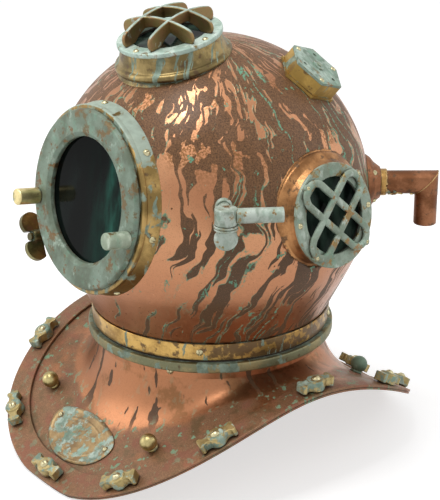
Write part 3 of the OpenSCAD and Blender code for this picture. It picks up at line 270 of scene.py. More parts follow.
class Tree:
    """The nodes of a material or of the world, written as sums of sockets and numbers."""

    def __init__(self, name, world=None):
        self.owner = world or bpy.data.materials.new(name)
        self.owner.use_nodes = True
        self.t = self.owner.node_tree
        self.t.nodes.clear()
        if not world:
            self.pos = self.node("TexCoord").outputs["Object"]
            self.xyz = self.node("SeparateXYZ", {"Vector": self.pos}).outputs

    def node(self, kind, inputs=None, **props):
        n = self.t.nodes.new("ShaderNode" + kind)
        for k, v in props.items():
            setattr(n, k, v)
        for k, v in (inputs or {}).items():
            self.put(n.inputs[k], v)
        return n

    def put(self, socket, v):
        if isinstance(v, bpy.types.NodeSocket):
            self.t.links.new(v, socket)
        else:
            socket.default_value = v

    def math(self, op, a, b=0.0):
        return self.node("Math", {0: a, 1: b}, operation=op).outputs[0]

    def fold(self, op, first, *more):
        for v in more:
            first = self.math(op, first, v)
        return first

    def add(self, *vals):
        return self.fold("ADD", *vals)

    def sub(self, a, b):
        return self.math("SUBTRACT", a, b)

    def mul(self, *vals):
        return self.fold("MULTIPLY", *vals)

    def most(self, *vals):
        return self.fold("MAXIMUM", *vals)

    def line(self, v, lo, hi, out0=0.0, out1=1.0, kind="LINEAR"):
        n = self.node("MapRange", {"Value": v, "From Min": lo, "From Max": hi, "To Min": out0,
                                   "To Max": out1}, interpolation_type=kind)
        return n.outputs["Result"]

    def step(self, v, lo, hi, less=0.0):
        """Smoothly from 0 at lo to 1 at hi, each brought down by less. lo can be the larger."""
        return self.line(v, lo - less, hi - less, kind="SMOOTHSTEP")

    def noise(self, scale, detail=3, seed=0, vec=None, rough=0.55):
        """Noise of 0 to 1, scale in waves to the metre and detail in octaves."""
        n = self.node("TexNoise", {"Vector": vec or self.pos, "Scale": scale, "Detail": detail,
                                   "Roughness": rough, "W": seed}, noise_dimensions="4D")
        return n.outputs["Fac"]

    def speckle(self, size, share, seed):
        """Fine dots over about the given share of the surface."""
        return self.step(self.noise(size, 2, seed=seed, rough=0.5), 1 - share, 1 - share + 0.06)

    def swing(self, v, reach):
        """A value round 0.5, brought round 0 and made reach times as wide."""
        return self.mul(self.add(v, -0.5), reach)

    def stretch(self, x, y, z):
        return self.node("VectorMath", {0: self.pos, 1: (x, y, z)}, operation="MULTIPLY").outputs[0]

    def combine(self, x, y, z):
        return self.node("CombineXYZ", {0: x, 1: y, 2: z}).outputs[0]

    def mix(self, fac, a, b):
        """A mix of two colours, each a socket or an sRGB tone of three numbers."""
        a, b = (srgb(*c) if isinstance(c, tuple) and len(c) == 3 else c for c in (a, b))
        return self.node("Mix", {0: fac, 6: a, 7: b}, data_type="RGBA").outputs[2]

    def mixf(self, fac, a, b):
        """A mix of two numbers."""
        return self.node("Mix", {0: fac, 2: a, 3: b}, data_type="FLOAT").outputs[0]

    def edges(self):
        """About 1 on outer and inner edges, 0 on flat ground."""
        soft = self.node("Bevel", {"Radius": 0.0009}, samples=4).outputs[0]
        true = self.node("NewGeometry").outputs["Normal"]
        d = self.node("VectorMath", {0: soft, 1: true}, operation="DOT_PRODUCT").outputs["Value"]
        return self.step(d, 0.999, 0.93)

    def facing(self):
        """Upward share of the surface's direction, -1 to 1."""
        n = self.node("NewGeometry").outputs["Normal"]
        return self.node("SeparateXYZ", {"Vector": n}).outputs[2]

    def hollow(self, distance=0.008):
        """Ambient occlusion of corners and hollows, 0 to 1, used to paint shade into them and to place patina
        there.
        """
        ao = self.node("AmbientOcclusion", {"Distance": distance}, samples=6).outputs["AO"]
        return self.step(ao, 0.85, 0.25)

    def seen(self):
        """1 for the camera's view and for reflections, 0 for other light."""
        path = self.node("LightPath").outputs
        return self.most(path["Is Camera Ray"], path["Is Glossy Ray"], path["Is Transmission Ray"])

    def meridian(self, z_scale, wave):
        """Coordinates that run down the helmet's sides, so that a noise in them makes runs."""
        x, y, z = self.xyz
        off_axis = 0.0004
        rho = self.math("SQRT", self.add(self.mul(x, x), self.mul(y, y), off_axis))
        sway = self.swing(self.noise(38, seed=5), wave * 2)
        u, v = (self.add(self.mul(self.math("DIVIDE", c, rho), RUN_R), sway) for c in (x, y))
        return self.combine(u, v, self.mul(z, z_scale))

    def finish(self, color, rough, metal, bump=None, strength=0.3, distance=0.0006, **more):
        shader = self.node("BsdfPrincipled", {"Base Color": color, "Roughness": rough, "Metallic": metal})
        for k, v in more.items():
            self.put(shader.inputs[k.replace("_", " ")], v)
        if bump is not None:
            b = self.node("Bump", {"Height": bump, "Strength": strength, "Distance": distance})
            self.put(shader.inputs["Normal"], b.outputs[0])
        self.node("OutputMaterial", {0: shader.outputs[0]})
        return self.owner


COPPER = (200, 146, 107)
COPPER_DEEP = (172, 118, 84)
FILM = (128, 89, 54)
FILM_DARK = (80, 52, 25)
GREEN = (118, 172, 146)
MINT = (152, 174, 158)
MINT_PALE = (190, 206, 194)
MINT_DARK = (108, 126, 110)
OLIVE = (130, 116, 72)
RUST = (142, 110, 76)
UMBER = (84, 62, 40)
RUN_R = 0.14   # Radius in metres at which the runs' coordinates go round the helmet


def dome_material():
    """Polished copper with brown film in blots and runs, and green along their rims."""
    t = Tree("dome_copper")
    x, y, z = t.xyz
    # Distance down the side from the top, and direction round the helmet, leaning below lean_top
    outer_r, pole, lean_top, lean_rate = 0.16, 0.999, 0.258, 3.4
    rise = t.mul(t.add(z, -DOME_Z * MM), 1 / outer_r)
    down = t.mul(t.math("ARCCOSINE", t.math("MINIMUM", rise, pole)), DOME_R * MM)
    turn = t.math("ARCTAN2", y, x)
    lean = t.mul(t.math("MINIMUM", z, lean_top), lean_rate)
    sway = t.add(t.swing(t.noise(30, 1, 5), 0.22), t.swing(t.noise(90, 0, 6), 0.05))
    bent = t.add(t.sub(turn, lean), sway)
    u, v = t.mul(t.math("COSINE", bent), RUN_R), t.mul(t.math("SINE", bent), RUN_R)

    def flow(scale, stretch, seed, detail=0.6):
        return t.noise(scale, detail, seed, t.combine(u, v, t.mul(down, stretch)), rough=0.5)

    def bar(on_crown, above, below):
        """The height a noise has to pass on the crown, above the middle and low down."""
        return t.mixf(crown, t.mixf(low, above, below), on_crown)
    # Where the crown is, the part below the middle, and the clean front under the crown
    crown = t.step(z, 0.322, 0.345)
    low = t.step(z, 0.262, 0.238)
    clean = t.mul(t.step(y, -0.106, -0.128), t.step(z, 0.335, 0.3))
    grain = t.noise(520, seed=3)
    wobble = t.add(t.swing(grain, 0.03), t.swing(t.noise(170, 1, 24), 0.05))
    patchy = t.line(t.noise(24, 1, 9), 0.3, 0.7, 0.06, -0.06)
    # Blots on the crown, and runs below it that grow narrower towards the band. Film where over is above 0
    blots = t.sub(t.mixf(crown, flow(128, 0.15, 1.3), flow(124, 0.5, 2.1, 1.5)), bar(0.48, 0.525, 0.605))
    streaks = t.sub(flow(165, 0.075, 31.0), bar(0.6, 0.595, 0.612))
    threads = t.sub(flow(112, 0.08, 37.0), bar(0.6, 0.57, 0.585))
    over = t.add(t.most(blots, streaks, threads), t.sub(wobble, patchy))
    over = t.sub(over, t.mul(clean, 0.11))
    film = t.step(over, -0.003, 0.005)
    rim = t.mul(t.step(over, -0.022, -0.002), t.step(over, 0.022, 0.002))
    # Green on the film's rims, on a few threads behind and in splashes
    place = t.step(t.noise(22, 2, 4.4, vec=t.combine(u, v, t.mul(down, 0.35))), 0.47, 0.54)
    thread = t.math("ABSOLUTE", t.add(flow(46, 0.1, 7.7), -0.5))
    thread = t.mul(t.step(thread, 0.017, 0.008), t.step(turn, -1.0, -0.5))
    flecks = t.step(t.noise(420, seed=16), 0.45, 0.52)
    splash = t.step(t.noise(88, 4, 19), 0.655, 0.675)
    green = t.most(t.mul(t.most(t.mul(rim, 0.8), thread), place, flecks), t.mul(splash, flecks))
    # Polished ground with haze and pits, darker low on the dome as painted shade, brown film in two depths
    dots = t.speckle(900, 0.46, 11)
    shade = t.noise(9, seed=8)
    # COPPER_DEEP in broad random patches, and below z 0.3 m as painted shade
    polished = t.mix(t.most(t.step(shade, 0.35, 0.7), t.step(z, 0.3, 0.2)), COPPER, COPPER_DEEP)
    haze = t.mul(t.step(t.noise(19, seed=21), 0.46, 0.62), t.step(z, 0.29, 0.345))
    polished = t.mix(t.mul(dots, 0.26), polished, FILM)
    polished = t.mix(t.mul(haze, t.step(grain, 0.42, 0.56)), polished, FILM)
    pits = t.step(t.noise(240, 2, 22), 0.7, 0.74)
    polished = t.mix(pits, polished, FILM_DARK)
    brown = t.mix(t.line(t.noise(680, seed=12), 0.35, 0.65), FILM_DARK, FILM)
    brown = t.mix(t.step(z, 0.32, 0.24), brown, t.mix(grain, (66, 42, 18), (104, 72, 38)))
    brown = t.mix(t.mul(t.speckle(1000, 0.42, 14), 0.25), brown, COPPER_DEEP)
    color = t.mix(film, polished, brown)
    color = t.mix(green, color, t.mix(grain, (92, 140, 104), GREEN))
    skin = t.most(film, green)
    rough = t.mixf(skin, t.line(t.noise(300, 2, 15), 0.3, 0.7, 0.27, 0.42), 0.74)
    rough = t.add(rough, t.mul(haze, 0.15))
    metal = t.mixf(skin, t.mixf(dots, 1.0, 0.85), 0.1)
    relief = t.add(t.mul(skin, 0.6), t.mul(grain, 0.45), t.mul(t.noise(22, 2, 17), 1.6))
    return t.finish(color, rough, metal, relief, 0.4, 0.0005, Coat_Weight=0.25, Coat_Roughness=0.3)


def plate_material():
    """Dull film over copper, brighter on the neck, with green flecks and painted shade in its hollows."""
    t = Tree("plate_copper")
    x, y = t.xyz[:2]
    rho = t.math("SQRT", t.add(t.mul(x, x), t.mul(y, y)))
    neck = t.step(rho, 0.146, 0.128)
    shadow = t.add(t.noise(28, seed=14), t.mul(t.noise(300, 2), 0.2))
    shadow = t.mul(neck, t.step(shadow, 0.62, 0.72))
    runs = t.noise(96, 2, 1.1, vec=t.meridian(0.32, 0.008), rough=0.4)
    film = t.step(t.add(runs, t.mul(t.noise(300, seed=2), 0.03)), 0.635, 0.645)
    film = t.mul(film, neck)
    ground = t.step(t.add(t.noise(26, 4, 3), t.mul(neck, 0.42)), 0.5, 0.74)
    dots = t.mul(t.speckle(620, 0.48, 4), t.sub(1.0, t.mul(neck, 0.75)))
    fine = t.noise(900, seed=5)
    mottle = t.noise(60, 5, 9)
    base = t.mix(t.line(fine, 0.3, 0.7), (110, 80, 56), (156, 116, 84))
    base = t.mix(t.step(mottle, 0.5, 0.62), base, t.mix(fine, (118, 76, 56), (160, 108, 84)))
    base = t.mix(t.mul(t.step(mottle, 0.46, 0.36), 0.6), base, (98, 84, 54))
    bright = t.mix(t.mul(dots, 0.18), COPPER_DEEP, (134, 92, 62))
    color = t.mix(ground, base, bright)
    color = t.mix(t.mul(dots, 0.28), color, (104, 74, 50))
    color = t.mix(t.mul(shadow, 0.8), color, t.mix(fine, (112, 78, 50), (146, 104, 70)))
    color = t.mix(film, color, t.mix(fine, (70, 46, 26), (108, 76, 48)))
    flecks = t.step(t.noise(150, 4, 6, vec=t.stretch(1, 1, 0.5)), 0.575, 0.625)
    near = t.most(t.step(rho, 0.185, 0.15), t.step(t.noise(11, 1, 10), 0.5, 0.62))
    green = t.mul(flecks, t.add(t.mul(near, 0.6), 0.35), t.step(t.noise(18, 2, 7), 0.36, 0.5))
    green = t.mul(green, t.sub(1.0, t.mul(neck, 0.85)))
    color = t.mix(green, color, t.mix(fine, (110, 140, 104), (140, 176, 148)))
    # Painted shade: dark brown in corners and hollows, from ambient occlusion
    color = t.mix(t.mul(t.hollow(0.005), 0.75), color, (48, 34, 22))
    skin = t.most(film, green)
    rough = t.mixf(ground, t.line(mottle, 0.35, 0.65, 0.42, 0.62), 0.36)
    rough = t.add(rough, t.mul(skin, 0.25))
    metal = t.mixf(skin, t.mixf(ground, 0.5, 0.95), 0.15)
    waves = t.mul(t.noise(30, 2, 8), 1.5)
    relief = t.add(t.mul(fine, 0.35), t.add(t.mul(skin, 0.5), waves))
    return t.finish(color, rough, metal, relief, 0.4)


def brass_material(name, gold, tarnish, mint_share, run_share, dark_share, seed, rough=0.38, topped=0.0,
                   stained=0.0):
    """Worn brass with tarnish, green runs, green and painted shade in its hollows, and edges lighter gold as
    wear and painted highlight. By topped, more green on upward faces and painted shade in the tarnish tone on
    downward faces.
    """
    t = Tree(name)
    hollow = t.hollow()
    broad = t.noise(34, 4, seed + 1)
    runs = t.noise(95, seed=seed + 2, vec=t.meridian(0.22, 0.005))
    fine = t.noise(600, seed=seed + 3)
    up = t.mul(t.step(t.facing(), 0.25, 0.85), 0.24 * topped)
    under = t.mul(t.step(t.facing(), -0.05, -0.6), topped)
    stain = t.mul(t.step(t.math("ARCTAN2", t.xyz[1], t.xyz[0]), -0.78, -0.55), stained)
    color = t.mix(t.step(t.add(broad, t.mul(fine, 0.12)), 0.46, 0.64), gold, tarnish)
    color = t.mix(t.mul(t.step(t.noise(70, 5, seed + 8), 0.48, 0.66), 0.45), color, tarnish)
    # Painted shade: downward faces turned towards the tarnish tone, by topped
    color = t.mix(t.mul(under, 0.7), color, tarnish)
    # Umber in noise patches, more on the stained side, and as painted shade in the hollows
    dark = t.add(t.noise(120, 5, seed + 4), t.add(t.mul(hollow, 0.25), t.mul(stain, 0.14)))
    dark = t.step(dark, 0.68, 0.76, 0.16 * dark_share)
    color = t.mix(t.mul(dark, 0.8), color, UMBER)
    drip = t.add(runs, t.mul(fine, 0.06), t.add(t.mul(up, 0.4), t.mul(stain, 0.05)))
    drip = t.step(drip, 0.7, 0.73, 0.16 * run_share)
    patch = t.add(t.noise(60, 5, seed + 5), t.mul(hollow, 0.22), up)
    green = t.most(drip, t.step(patch, 0.76, 0.82, 0.26 * mint_share))
    tone = t.mix(t.line(t.noise(160, 4, seed + 6), 0.36, 0.62), MINT_DARK, MINT)
    tone = t.mix(t.mul(t.step(up, 0.05, 0.2), 0.5), tone, MINT_PALE)
    color = t.mix(t.mul(green, 0.9), color, tone)
    # Edges lighter gold, partly bright wear and partly a painted highlight
    color = t.mix(t.mul(t.edges(), 0.3), color, gold)
    rough = t.mixf(green, t.line(fine, 0.3, 0.7, rough - 0.06, rough + 0.1), 0.66)
    metal = t.mixf(green, t.mixf(dark, 1.0, 0.6), 0.15)
    waves = t.mul(t.noise(90, 2, seed + 7), 0.8)
    relief = t.add(t.mul(green, 0.5), t.add(t.mul(fine, 0.35), waves))
    return t.finish(color, rough, metal, relief, 0.35, 0.0005)


def mint_material(name, cover, pale, brown, seed, teal=0.3, tones=None, bare=None, sides=0.0):
    """Green-grey patina over cast brass, rubbed through in places, and on upright faces by sides."""
    t = Tree(name)
    tones = tones or (MINT_DARK, MINT, MINT_PALE)
    bare = bare or (OLIVE, RUST)
    fine = t.noise(520, 4, seed + 2)
    blots = t.noise(100, 6, seed + 3, vec=t.stretch(1, 1, 0.6), rough=0.62)
    tone = t.mix(t.step(t.noise(42, 4, seed + 1), 0.36, 0.66), tones[0], tones[1])
    tone = t.mix(t.mul(t.step(blots, 0.62, 0.76, 0.2 * pale), 0.7), tone, tones[2])
    tone = t.mix(t.mul(t.step(t.noise(75, 4, seed + 4), 0.54, 0.66), teal), tone, GREEN)
    metal_tone = t.mix(t.line(t.noise(90, 4, seed + 5), 0.38, 0.6), bare[0], bare[1])
    rub = t.add(t.noise(85, 6, seed + 6, rough=0.62), t.swing(fine, 0.16), t.mul(t.edges(), 0.1))
    rub = t.step(rub, 0.42, 0.5, -0.28 * cover)
    if sides:
        rub = t.most(rub, t.mul(t.step(t.facing(), 0.8, 0.45), t.step(blots, 0.62, 0.5, 0.3 * sides)))
    color = t.mix(rub, tone, metal_tone)
    # Umber in noise blots of grime, and as painted shade in the hollows
    grime_and_shade = t.add(t.noise(150, 5, seed + 7), t.mul(t.hollow(), 0.3))
    color = t.mix(t.mul(t.step(grime_and_shade, 0.78, 0.92, 0.2 * brown), 0.75), color, UMBER)
    color = t.mix(t.mul(t.step(fine, 0.56, 0.68), 0.22), color, UMBER)
    relief = t.add(t.mul(fine, 0.5), t.add(t.mul(blots, 0.6), t.mul(rub, -0.4)))
    return t.finish(color, t.mixf(rub, 0.6, 0.42), t.mixf(rub, 0.2, 0.8), relief, 0.45)


def screw_material():
    t = Tree("pale_screws")
    fine = t.noise(900)
    color = t.mix(t.noise(70, 2, 2), (216, 208, 172), (170, 160, 116))
    # Painted shade: umber in the slots and hollows, from ambient occlusion
    color = t.mix(t.mul(t.hollow(0.002), 0.8), color, UMBER)
    return t.finish(color, t.line(fine, 0.3, 0.7, 0.28, 0.45), 0.9, fine, 0.2, 0.0002)


def glass_material(name, deep, algae=0.0):
    """Opaque dark glass, its colour up to deep standing in as painted shade for the helmet's inside behind
    it. algae adds a film behind its +X side.
    """
    t = Tree(name)
    smear = t.noise(34, 5, 3, vec=t.stretch(1, 1, 0.35))
    # Painted shade: near black to deep, for the dark inside seen through the glass
    color = t.mix(t.step(smear, 0.42, 0.66), (5, 8, 7), deep)
    cloud = t.step(t.noise(26, 5, 6, vec=t.stretch(1.6, 1, 0.45)), 0.36, 0.62)
    film = t.mul(t.step(t.xyz[0], -0.012, 0.046), cloud, algae)
    color = t.mix(film, color, (14, 66, 54))
    glow = t.mul(film, t.mul(t.step(smear, 0.46, 0.62), t.step(t.xyz[0], 0.01, 0.055)))
    color = t.mix(t.mul(glow, 0.75), color, (70, 142, 124))
    rough = t.line(t.noise(60, seed=5), 0.3, 0.7, 0.04, 0.12)
    return t.finish(color, rough, 0.0, Specular_IOR_Level=0.04, IOR=1.5)


def leather_material():
    t = Tree("gasket_leather")
    grain = t.node("TexVoronoi", {"Vector": t.pos, "Scale": 900.0}).outputs["Distance"]
    color = t.mix(t.noise(200, 4), (38, 30, 24), (64, 50, 38))
    return t.finish(color, 0.75, 0.0, grain, 0.5, 0.0003)


# Gold and tarnish tones, shares of mint, runs and dark, seed, then roughness, topped and stained
BRASS = {
    "band_brass": ((198, 162, 96), (150, 118, 68), 0.25, 0.3, 0.7, 3, 0.33, 0.0, 1.0),
    "flange_brass": ((146, 134, 98), (118, 118, 92), 0.75, 0.6, 0.5, 13, 0.5),
    "seat_brass": ((176, 146, 92), (128, 106, 64), 0.62, 0.85, 0.5, 23, 0.38, 0.9),
    "top_seat_brass": ((156, 136, 92), (108, 94, 62), 0.55, 0.7, 0.7, 33),
    "side_seat_brass": ((176, 128, 84), (126, 88, 56), 0.25, 0.25, 0.8, 43),
    "hex_brass": ((198, 164, 92), (156, 128, 70), 0.4, 0.5, 0.4, 53),
    "gold_post_brass": ((226, 210, 156), (184, 168, 116), 0.3, 0.2, 0.3, 63),
    "wing_brass": ((136, 130, 90), (88, 84, 58), 0.25, 0.2, 0.7, 73),
    "ball_brass": ((204, 188, 134), (156, 142, 96), 0.25, 0.15, 0.4, 83, 0.35),
    "elbow_copper": ((150, 103, 74), (112, 73, 49), 0.12, 0.12, 0.75, 93, 0.5),
    "braze_brass": ((208, 186, 132), (176, 146, 98), 0.1, 0.1, 0.3, 97, 0.5),
    "collar_brass": ((184, 148, 88), (140, 104, 62), 0.2, 0.2, 0.4, 103),
}
# Cover, pale, brown and seed, then teal, three tones of the patina, two of the bare metal and sides
PATINA = {
    "post_patina": (0.62, 0.6, 0.4, 64, 0.3, ((146, 160, 138), (176, 190, 168), (204, 214, 196))),
    "ring_patina": (0.4, 0.35, 0.85, 1, 0.25, ((98, 110, 92), (132, 150, 134), (176, 194, 178)),
                    ((108, 98, 70), (118, 92, 62))),
    "guard_patina": (0.42, 0.45, 0.6, 21, 0.3, ((128, 142, 124), (168, 184, 168), (204, 216, 204))),
    "flange_patina": (0.62, 0.8, 0.5, 27, 0.15, ((158, 182, 168), (196, 218, 206), (218, 232, 222))),
    "blade_patina": (0.56, 0.7, 0.55, 31, 0.3, ((140, 158, 144), (178, 196, 184), (206, 220, 210)), None,
                     -0.25),
    "nut_patina": (0.1, 0.6, 0.5, 41, 0.3, None, ((184, 164, 114), (150, 134, 88))),
    "badge_patina": (0.08, 0.8, 0.6, 51, 0.3, None, ((164, 138, 98), (132, 108, 76))),
    "cock_patina": (0.58, 0.9, 0.45, 71, 0.15, ((138, 152, 136), (172, 186, 172), (206, 216, 206))),
    "cover_patina": (0.55, 0.7, 0.4, 81),
    "rear_ball_patina": (0.66, 0.3, 0.5, 87, 0.3, ((104, 128, 108), (134, 158, 136), (176, 192, 172))),
}
LOOKS = {"dome": dome_material(), "plate": plate_material(), "screw": screw_material(),
         "leather": leather_material(), "glass": glass_material("dark_glass", (60, 78, 68)),
         "face_glass": glass_material("face_glass", (14, 22, 20), 0.85)}
LOOKS.update({name: brass_material(name, *row) for name, row in BRASS.items()})
LOOKS.update({name: mint_material(name, *row) for name, row in PATINA.items()})

# Dome


def dome_piece():
    """The spun shell, slightly uneven and just inside the solid's surface."""
    n_az, n_lat, n_skirt = 288, 118, 22
    wall_t, near_z = 2.3, -60
    skirt = radians(SKIRT_LAT)
    join_z = DOME_Z - DOME_R * sin(skirt)
    join_r = DOME_R * cos(skirt)
    line = arc(0, DOME_Z, DOME_R, 90, -90 - SKIRT_LAT, n_lat)
    for i in range(1, n_skirt + 1):
        z = join_z + (DOME_FOOT - join_z) * i / n_skirt
        line.append((join_r - (join_z - z) * tan(skirt), z))
    # Frames and radii of the holes, each under its seat's rim, and cut only on that side of the dome
    holes = [(FACE, 89), (TOP, 50), (VALVE, 23), (side_frame(1), 49.5), (side_frame(-1), 49.5)]
    holes += [(elbow_frame(s) @ rot("Y", 90), 21) for s in (1, -1)]
    holes = [(m.inverted(), r) for m, r in holes]
    verts = []
    for ca, sa in circle(n_az):
        for r, z in line:
            p = Vector((r * ca, r * sa, z))
            inward = 0.15 + 0.12 * (1 + noise.noise(p * 0.03)) + 0.05 * (1 + noise.noise(p * 0.11))
            d = (p - MIDDLE if z >= join_z else Vector((p.x, p.y, 0))).normalized()
            verts.append(p - d * inward)
    faces = []
    for f in grid(n_az, len(line), wrap=False):
        c = sum((verts[k] for k in f), Vector()) / 4
        if any((h @ c).xy.length < r and (h @ c).z > near_z for h, r in holes):
            continue
        faces.append(f if f[0] % len(line) else f[:3])
    obj = piece("dome_shell", verts, faces, "bonnet", "spun_copper", "dome", ["dome"], angle=180)
    wall = obj.modifiers.new("wall", "SOLIDIFY")
    wall.thickness = wall_t * MM
    wall.offset = -1


dome_piece()

# Breastplate
HALF_X, HALF_Y, SQUARE = 176.0, 205.0, 2.5
SHEET, STRAP_GAP, STRAP_T, STRAP_W = 2.0, 0.2, 3.0, 23.0
PLATE_NECK_R, PLATE_NECK_H = 112.5, 10.5
SIDE_DROP = 18
PLATE_STEPS = 288
REST_GAP = 0.3   # Space under what stands on the breastplate


def plan_r(a):
    return ((abs(cos(a)) / HALF_X) ** SQUARE + (abs(sin(a)) / HALF_Y) ** SQUARE) ** (-1 / SQUARE)


def rim_drop(a):
    """Fall from the neck's edge to the rim, least at the sides and cut off flat at the tips."""
    return min(NECK_Z + 1, SIDE_DROP + (NECK_Z + 4 - SIDE_DROP) * abs(sin(a)) ** 2.1)


def drop_at(a, r):
    """Fall from the neck's edge to radius r, steep near the neck and then even."""
    u = (r - PLATE_NECK_R) / (plan_r(a) - PLATE_NECK_R)
    share = 0.58 * u + 0.42 * (1 - (1 - min(max(u, 0), 1)) ** 9)
    return PLATE_NECK_H + (rim_drop(a) - PLATE_NECK_H) * share


def plate_point(a, r, off):
    """A point at angle a and radius r, off above the sheet's underside."""
    n = Vector((drop_at(a, r + 1) - drop_at(a, r - 1), 2)).normalized()
    s, z = r + off * n.x, NECK_Z - drop_at(a, r) + off * n.y
    return Vector((s * cos(a), s * sin(a), z))


def on_plate(deg, r, off, gap):
    """Frame on the breastplate, +Z along its normal and +X along the rim."""
    a = radians(deg)
    inset, e = plan_r(a) - r, radians(1)
    along = plate_point(a + e, plan_r(a + e) - inset, off) - plate_point(a - e, plan_r(a - e) - inset, off)
    down = plate_point(a, r + 1, off) - plate_point(a, r - 1, off)
    n = down.cross(along).normalized()
    x = along.normalized()
    m = Matrix((x, n.cross(x), n)).transposed().to_4x4()
    return Matrix.Translation(plate_point(a, r, off) + gap * n) @ m


def plate_piece():
    neck_rows, rows = 5, 44
    loop = [("neck", k / neck_rows) for k in range(neck_rows + 1)]
    loop += [("slope", k / rows) for k in range(1, rows + 1)]
    verts = []
    for i in range(PLATE_STEPS):
        a = tau * i / PLATE_STEPS
        out = Vector((cos(a), sin(a), 0))
        ring = []
        for kind, t in loop:
            if kind == "neck":
                top, low = (PLATE_NECK_R + SHEET) * out, PLATE_NECK_R * out
                top.z = low.z = NECK_Z - PLATE_NECK_H * t
            else:
                r = PLATE_NECK_R + (plan_r(a) - PLATE_NECK_R) * t ** 1.8
                place = Vector((r * cos(a), r * sin(a), 3))
                dent = 0.16 * noise.noise(place * 0.035) * min(1, 6 * t)
                top, low = plate_point(a, r, SHEET + dent), plate_point(a, r, 0)
            top.z, low.z = max(top.z, 0), max(low.z, 0)
            ring.append((top, low))
        verts += [top for top, low in ring] + [low for top, low in reversed(ring)]
    piece("breastplate_sheet", verts, grid(PLATE_STEPS, 2 * len(loop)), "corselet", "dull_copper", "plate",
          ["breastplate"], angle=60)


plate_piece()


def strap_piece():
    low, top, lowest_z = SHEET + STRAP_GAP, SHEET + STRAP_GAP + STRAP_T, 0.7
    edge = soften([(0, low), (0, top), (STRAP_W, top), (STRAP_W, low)], 1.0)
    line = []
    for i, p in enumerate(edge):
        q = edge[(i + 1) % len(edge)]
        steps = 6 if abs(p[0] - q[0]) > 5 else 1
        line += [(p[0] + (q[0] - p[0]) * k / steps, p[1] + (q[1] - p[1]) * k / steps) for k in range(steps)]
    verts = []
    for i in range(PLATE_STEPS):
        a = tau * i / PLATE_STEPS
        for s, off in line:
            wob = 0.12 * noise.noise(Vector((cos(a) * 9, sin(a) * 9, s * 0.1)))
            p = plate_point(a, plan_r(a) - STRAP_W + s, off + (wob if off > low + 1 else 0))
            verts.append((p.x, p.y, max(p.z, lowest_z)))
    piece("rim_strap", verts, grid(PLATE_STEPS, len(line)), "corselet", "dull_copper", "plate",
          ["brail_strap"], angle=60)


strap_piece()


def nut_pieces():
    wing_low, wing_top, inset = 1, 10, 10.5
    hub = [(0, 0), (9, 0), (9, 9.5), (7.5, 11), (0, 11)]
    half = [(5.5, 6.5), (6.67, 6.5)] + arc(11, 9, 5, 210, 120, 8, 1, 7)
    half += [(15.33, 6.5), (17.5, 6.5), (19, 5.2)]
    wing = half + [(x, -y) for x, y in reversed(half)]
    shape = Shape()
    for turn in (0, 34.5, 61.5, 90, 118.5, 145.5):
        for deg in (turn, turn + 180):
            m = on_plate(deg, plan_r(radians(deg)) - inset, SHEET + STRAP_GAP + STRAP_T, REST_GAP)
            shape.turn(hub, 1.4, 32, closed=False, m=m)
            shape.add(*plate(wing[::-1], wing_low, wing_top), m)
            shape.add(*plate([(-x, y) for x, y in wing], wing_low, wing_top), m)
    obj = shape.make("rim_nut_castings", "corselet", "green_brass", "nut_patina", ["rim_nuts"], angle=40)
    bevel(obj, 1.1)


nut_pieces()


def stud_pieces():
    ball_r = 8.5
    line = [(0, 0), (6, 0), (6, 1.4), (5.2, 2.2), (4.4, 2.6)] + arc(0, ball_r, ball_r, -58, 148, 24, 1)
    line[-1] = (0, 2 * ball_r)
    for name, turns, r, mat in (("front_ball_studs", (-57, -123), 161, "ball_brass"),
                                ("rear_ball_studs", (42, 138), 150, "rear_ball_patina")):
        shape = Shape()
        for deg in turns:
            shape.add(*lathe(line, 40, closed=False), m=on_plate(deg, r, SHEET, REST_GAP))
        shape.make(name, "corselet", "worn_brass", mat, ["strap_studs"])


stud_pieces()


def badge_piece():
    half_x, half_y, reach, gap = 50, 27, 159, 0.25
    rings, around = 40, 120
    front, middle = -pi / 2, radians(-92)
    lean = cos(atan((drop_at(front, reach + 1) - drop_at(front, reach - 1)) / 2))

    def point(t, f, off):
        a = middle + half_x * t * cos(f) / reach
        return plate_point(a, reach - half_y * t * sin(f) * lean, SHEET + gap + off)

    def relief(t):
        """Two raised rings on the plate, and its rounded edge."""
        rim = 0.8 * exp(-((t - 0.93) / 0.03) ** 2)
        inner = 0.6 * exp(-((t - 0.66) / 0.02) ** 2)
        return 1.55 + rim + inner - (0.5 * max(0, (t - 0.965) / 0.035) ** 2)
    turns = [tau * j / around for j in range(around)]
    verts = [point(0, 0, relief(0))]
    for i in range(1, rings + 1):
        verts += [point(i / rings, f, relief(i / rings)) for f in turns]
    low = len(verts)
    verts += [point(1, f, 0) for f in turns]
    verts.append(point(0, 0, 0))
    faces = []
    for j in range(around):
        k = (j + 1) % around
        faces.append((0, 1 + j, 1 + k))
        for i in range(rings - 1):
            p = 1 + i * around
            faces.append((p + j, p + around + j, p + around + k, p + k))
        p = 1 + (rings - 1) * around
        faces.append((p + j, low + j, low + k, p + k))
        faces.append((low + j, low + around, low + k))
    piece("oval_plate", verts, faces, "corselet", "green_brass", "badge_patina", ["badge_plate"])


badge_piece()

# Neck joint


def add_lugs(shape, r0, r1, z0, z1):
    """Four blocks bent about +Z, 38 degrees long."""
    n, half = 12, 19
    section = ((r0, z0), (r1, z0), (r1, z1), (r0, z1))
    for quarter in range(4):
        verts = []
        for i in range(n + 1):
            a = radians(90 * quarter - half + 2 * half * i / n)
            verts += [(r * cos(a), r * sin(a), z) for r, z in section]
        faces = grid(n + 1, 4, around=False) + [(3, 2, 1, 0), tuple(4 * n + j for j in range(4))]
        shape.add(verts, faces)


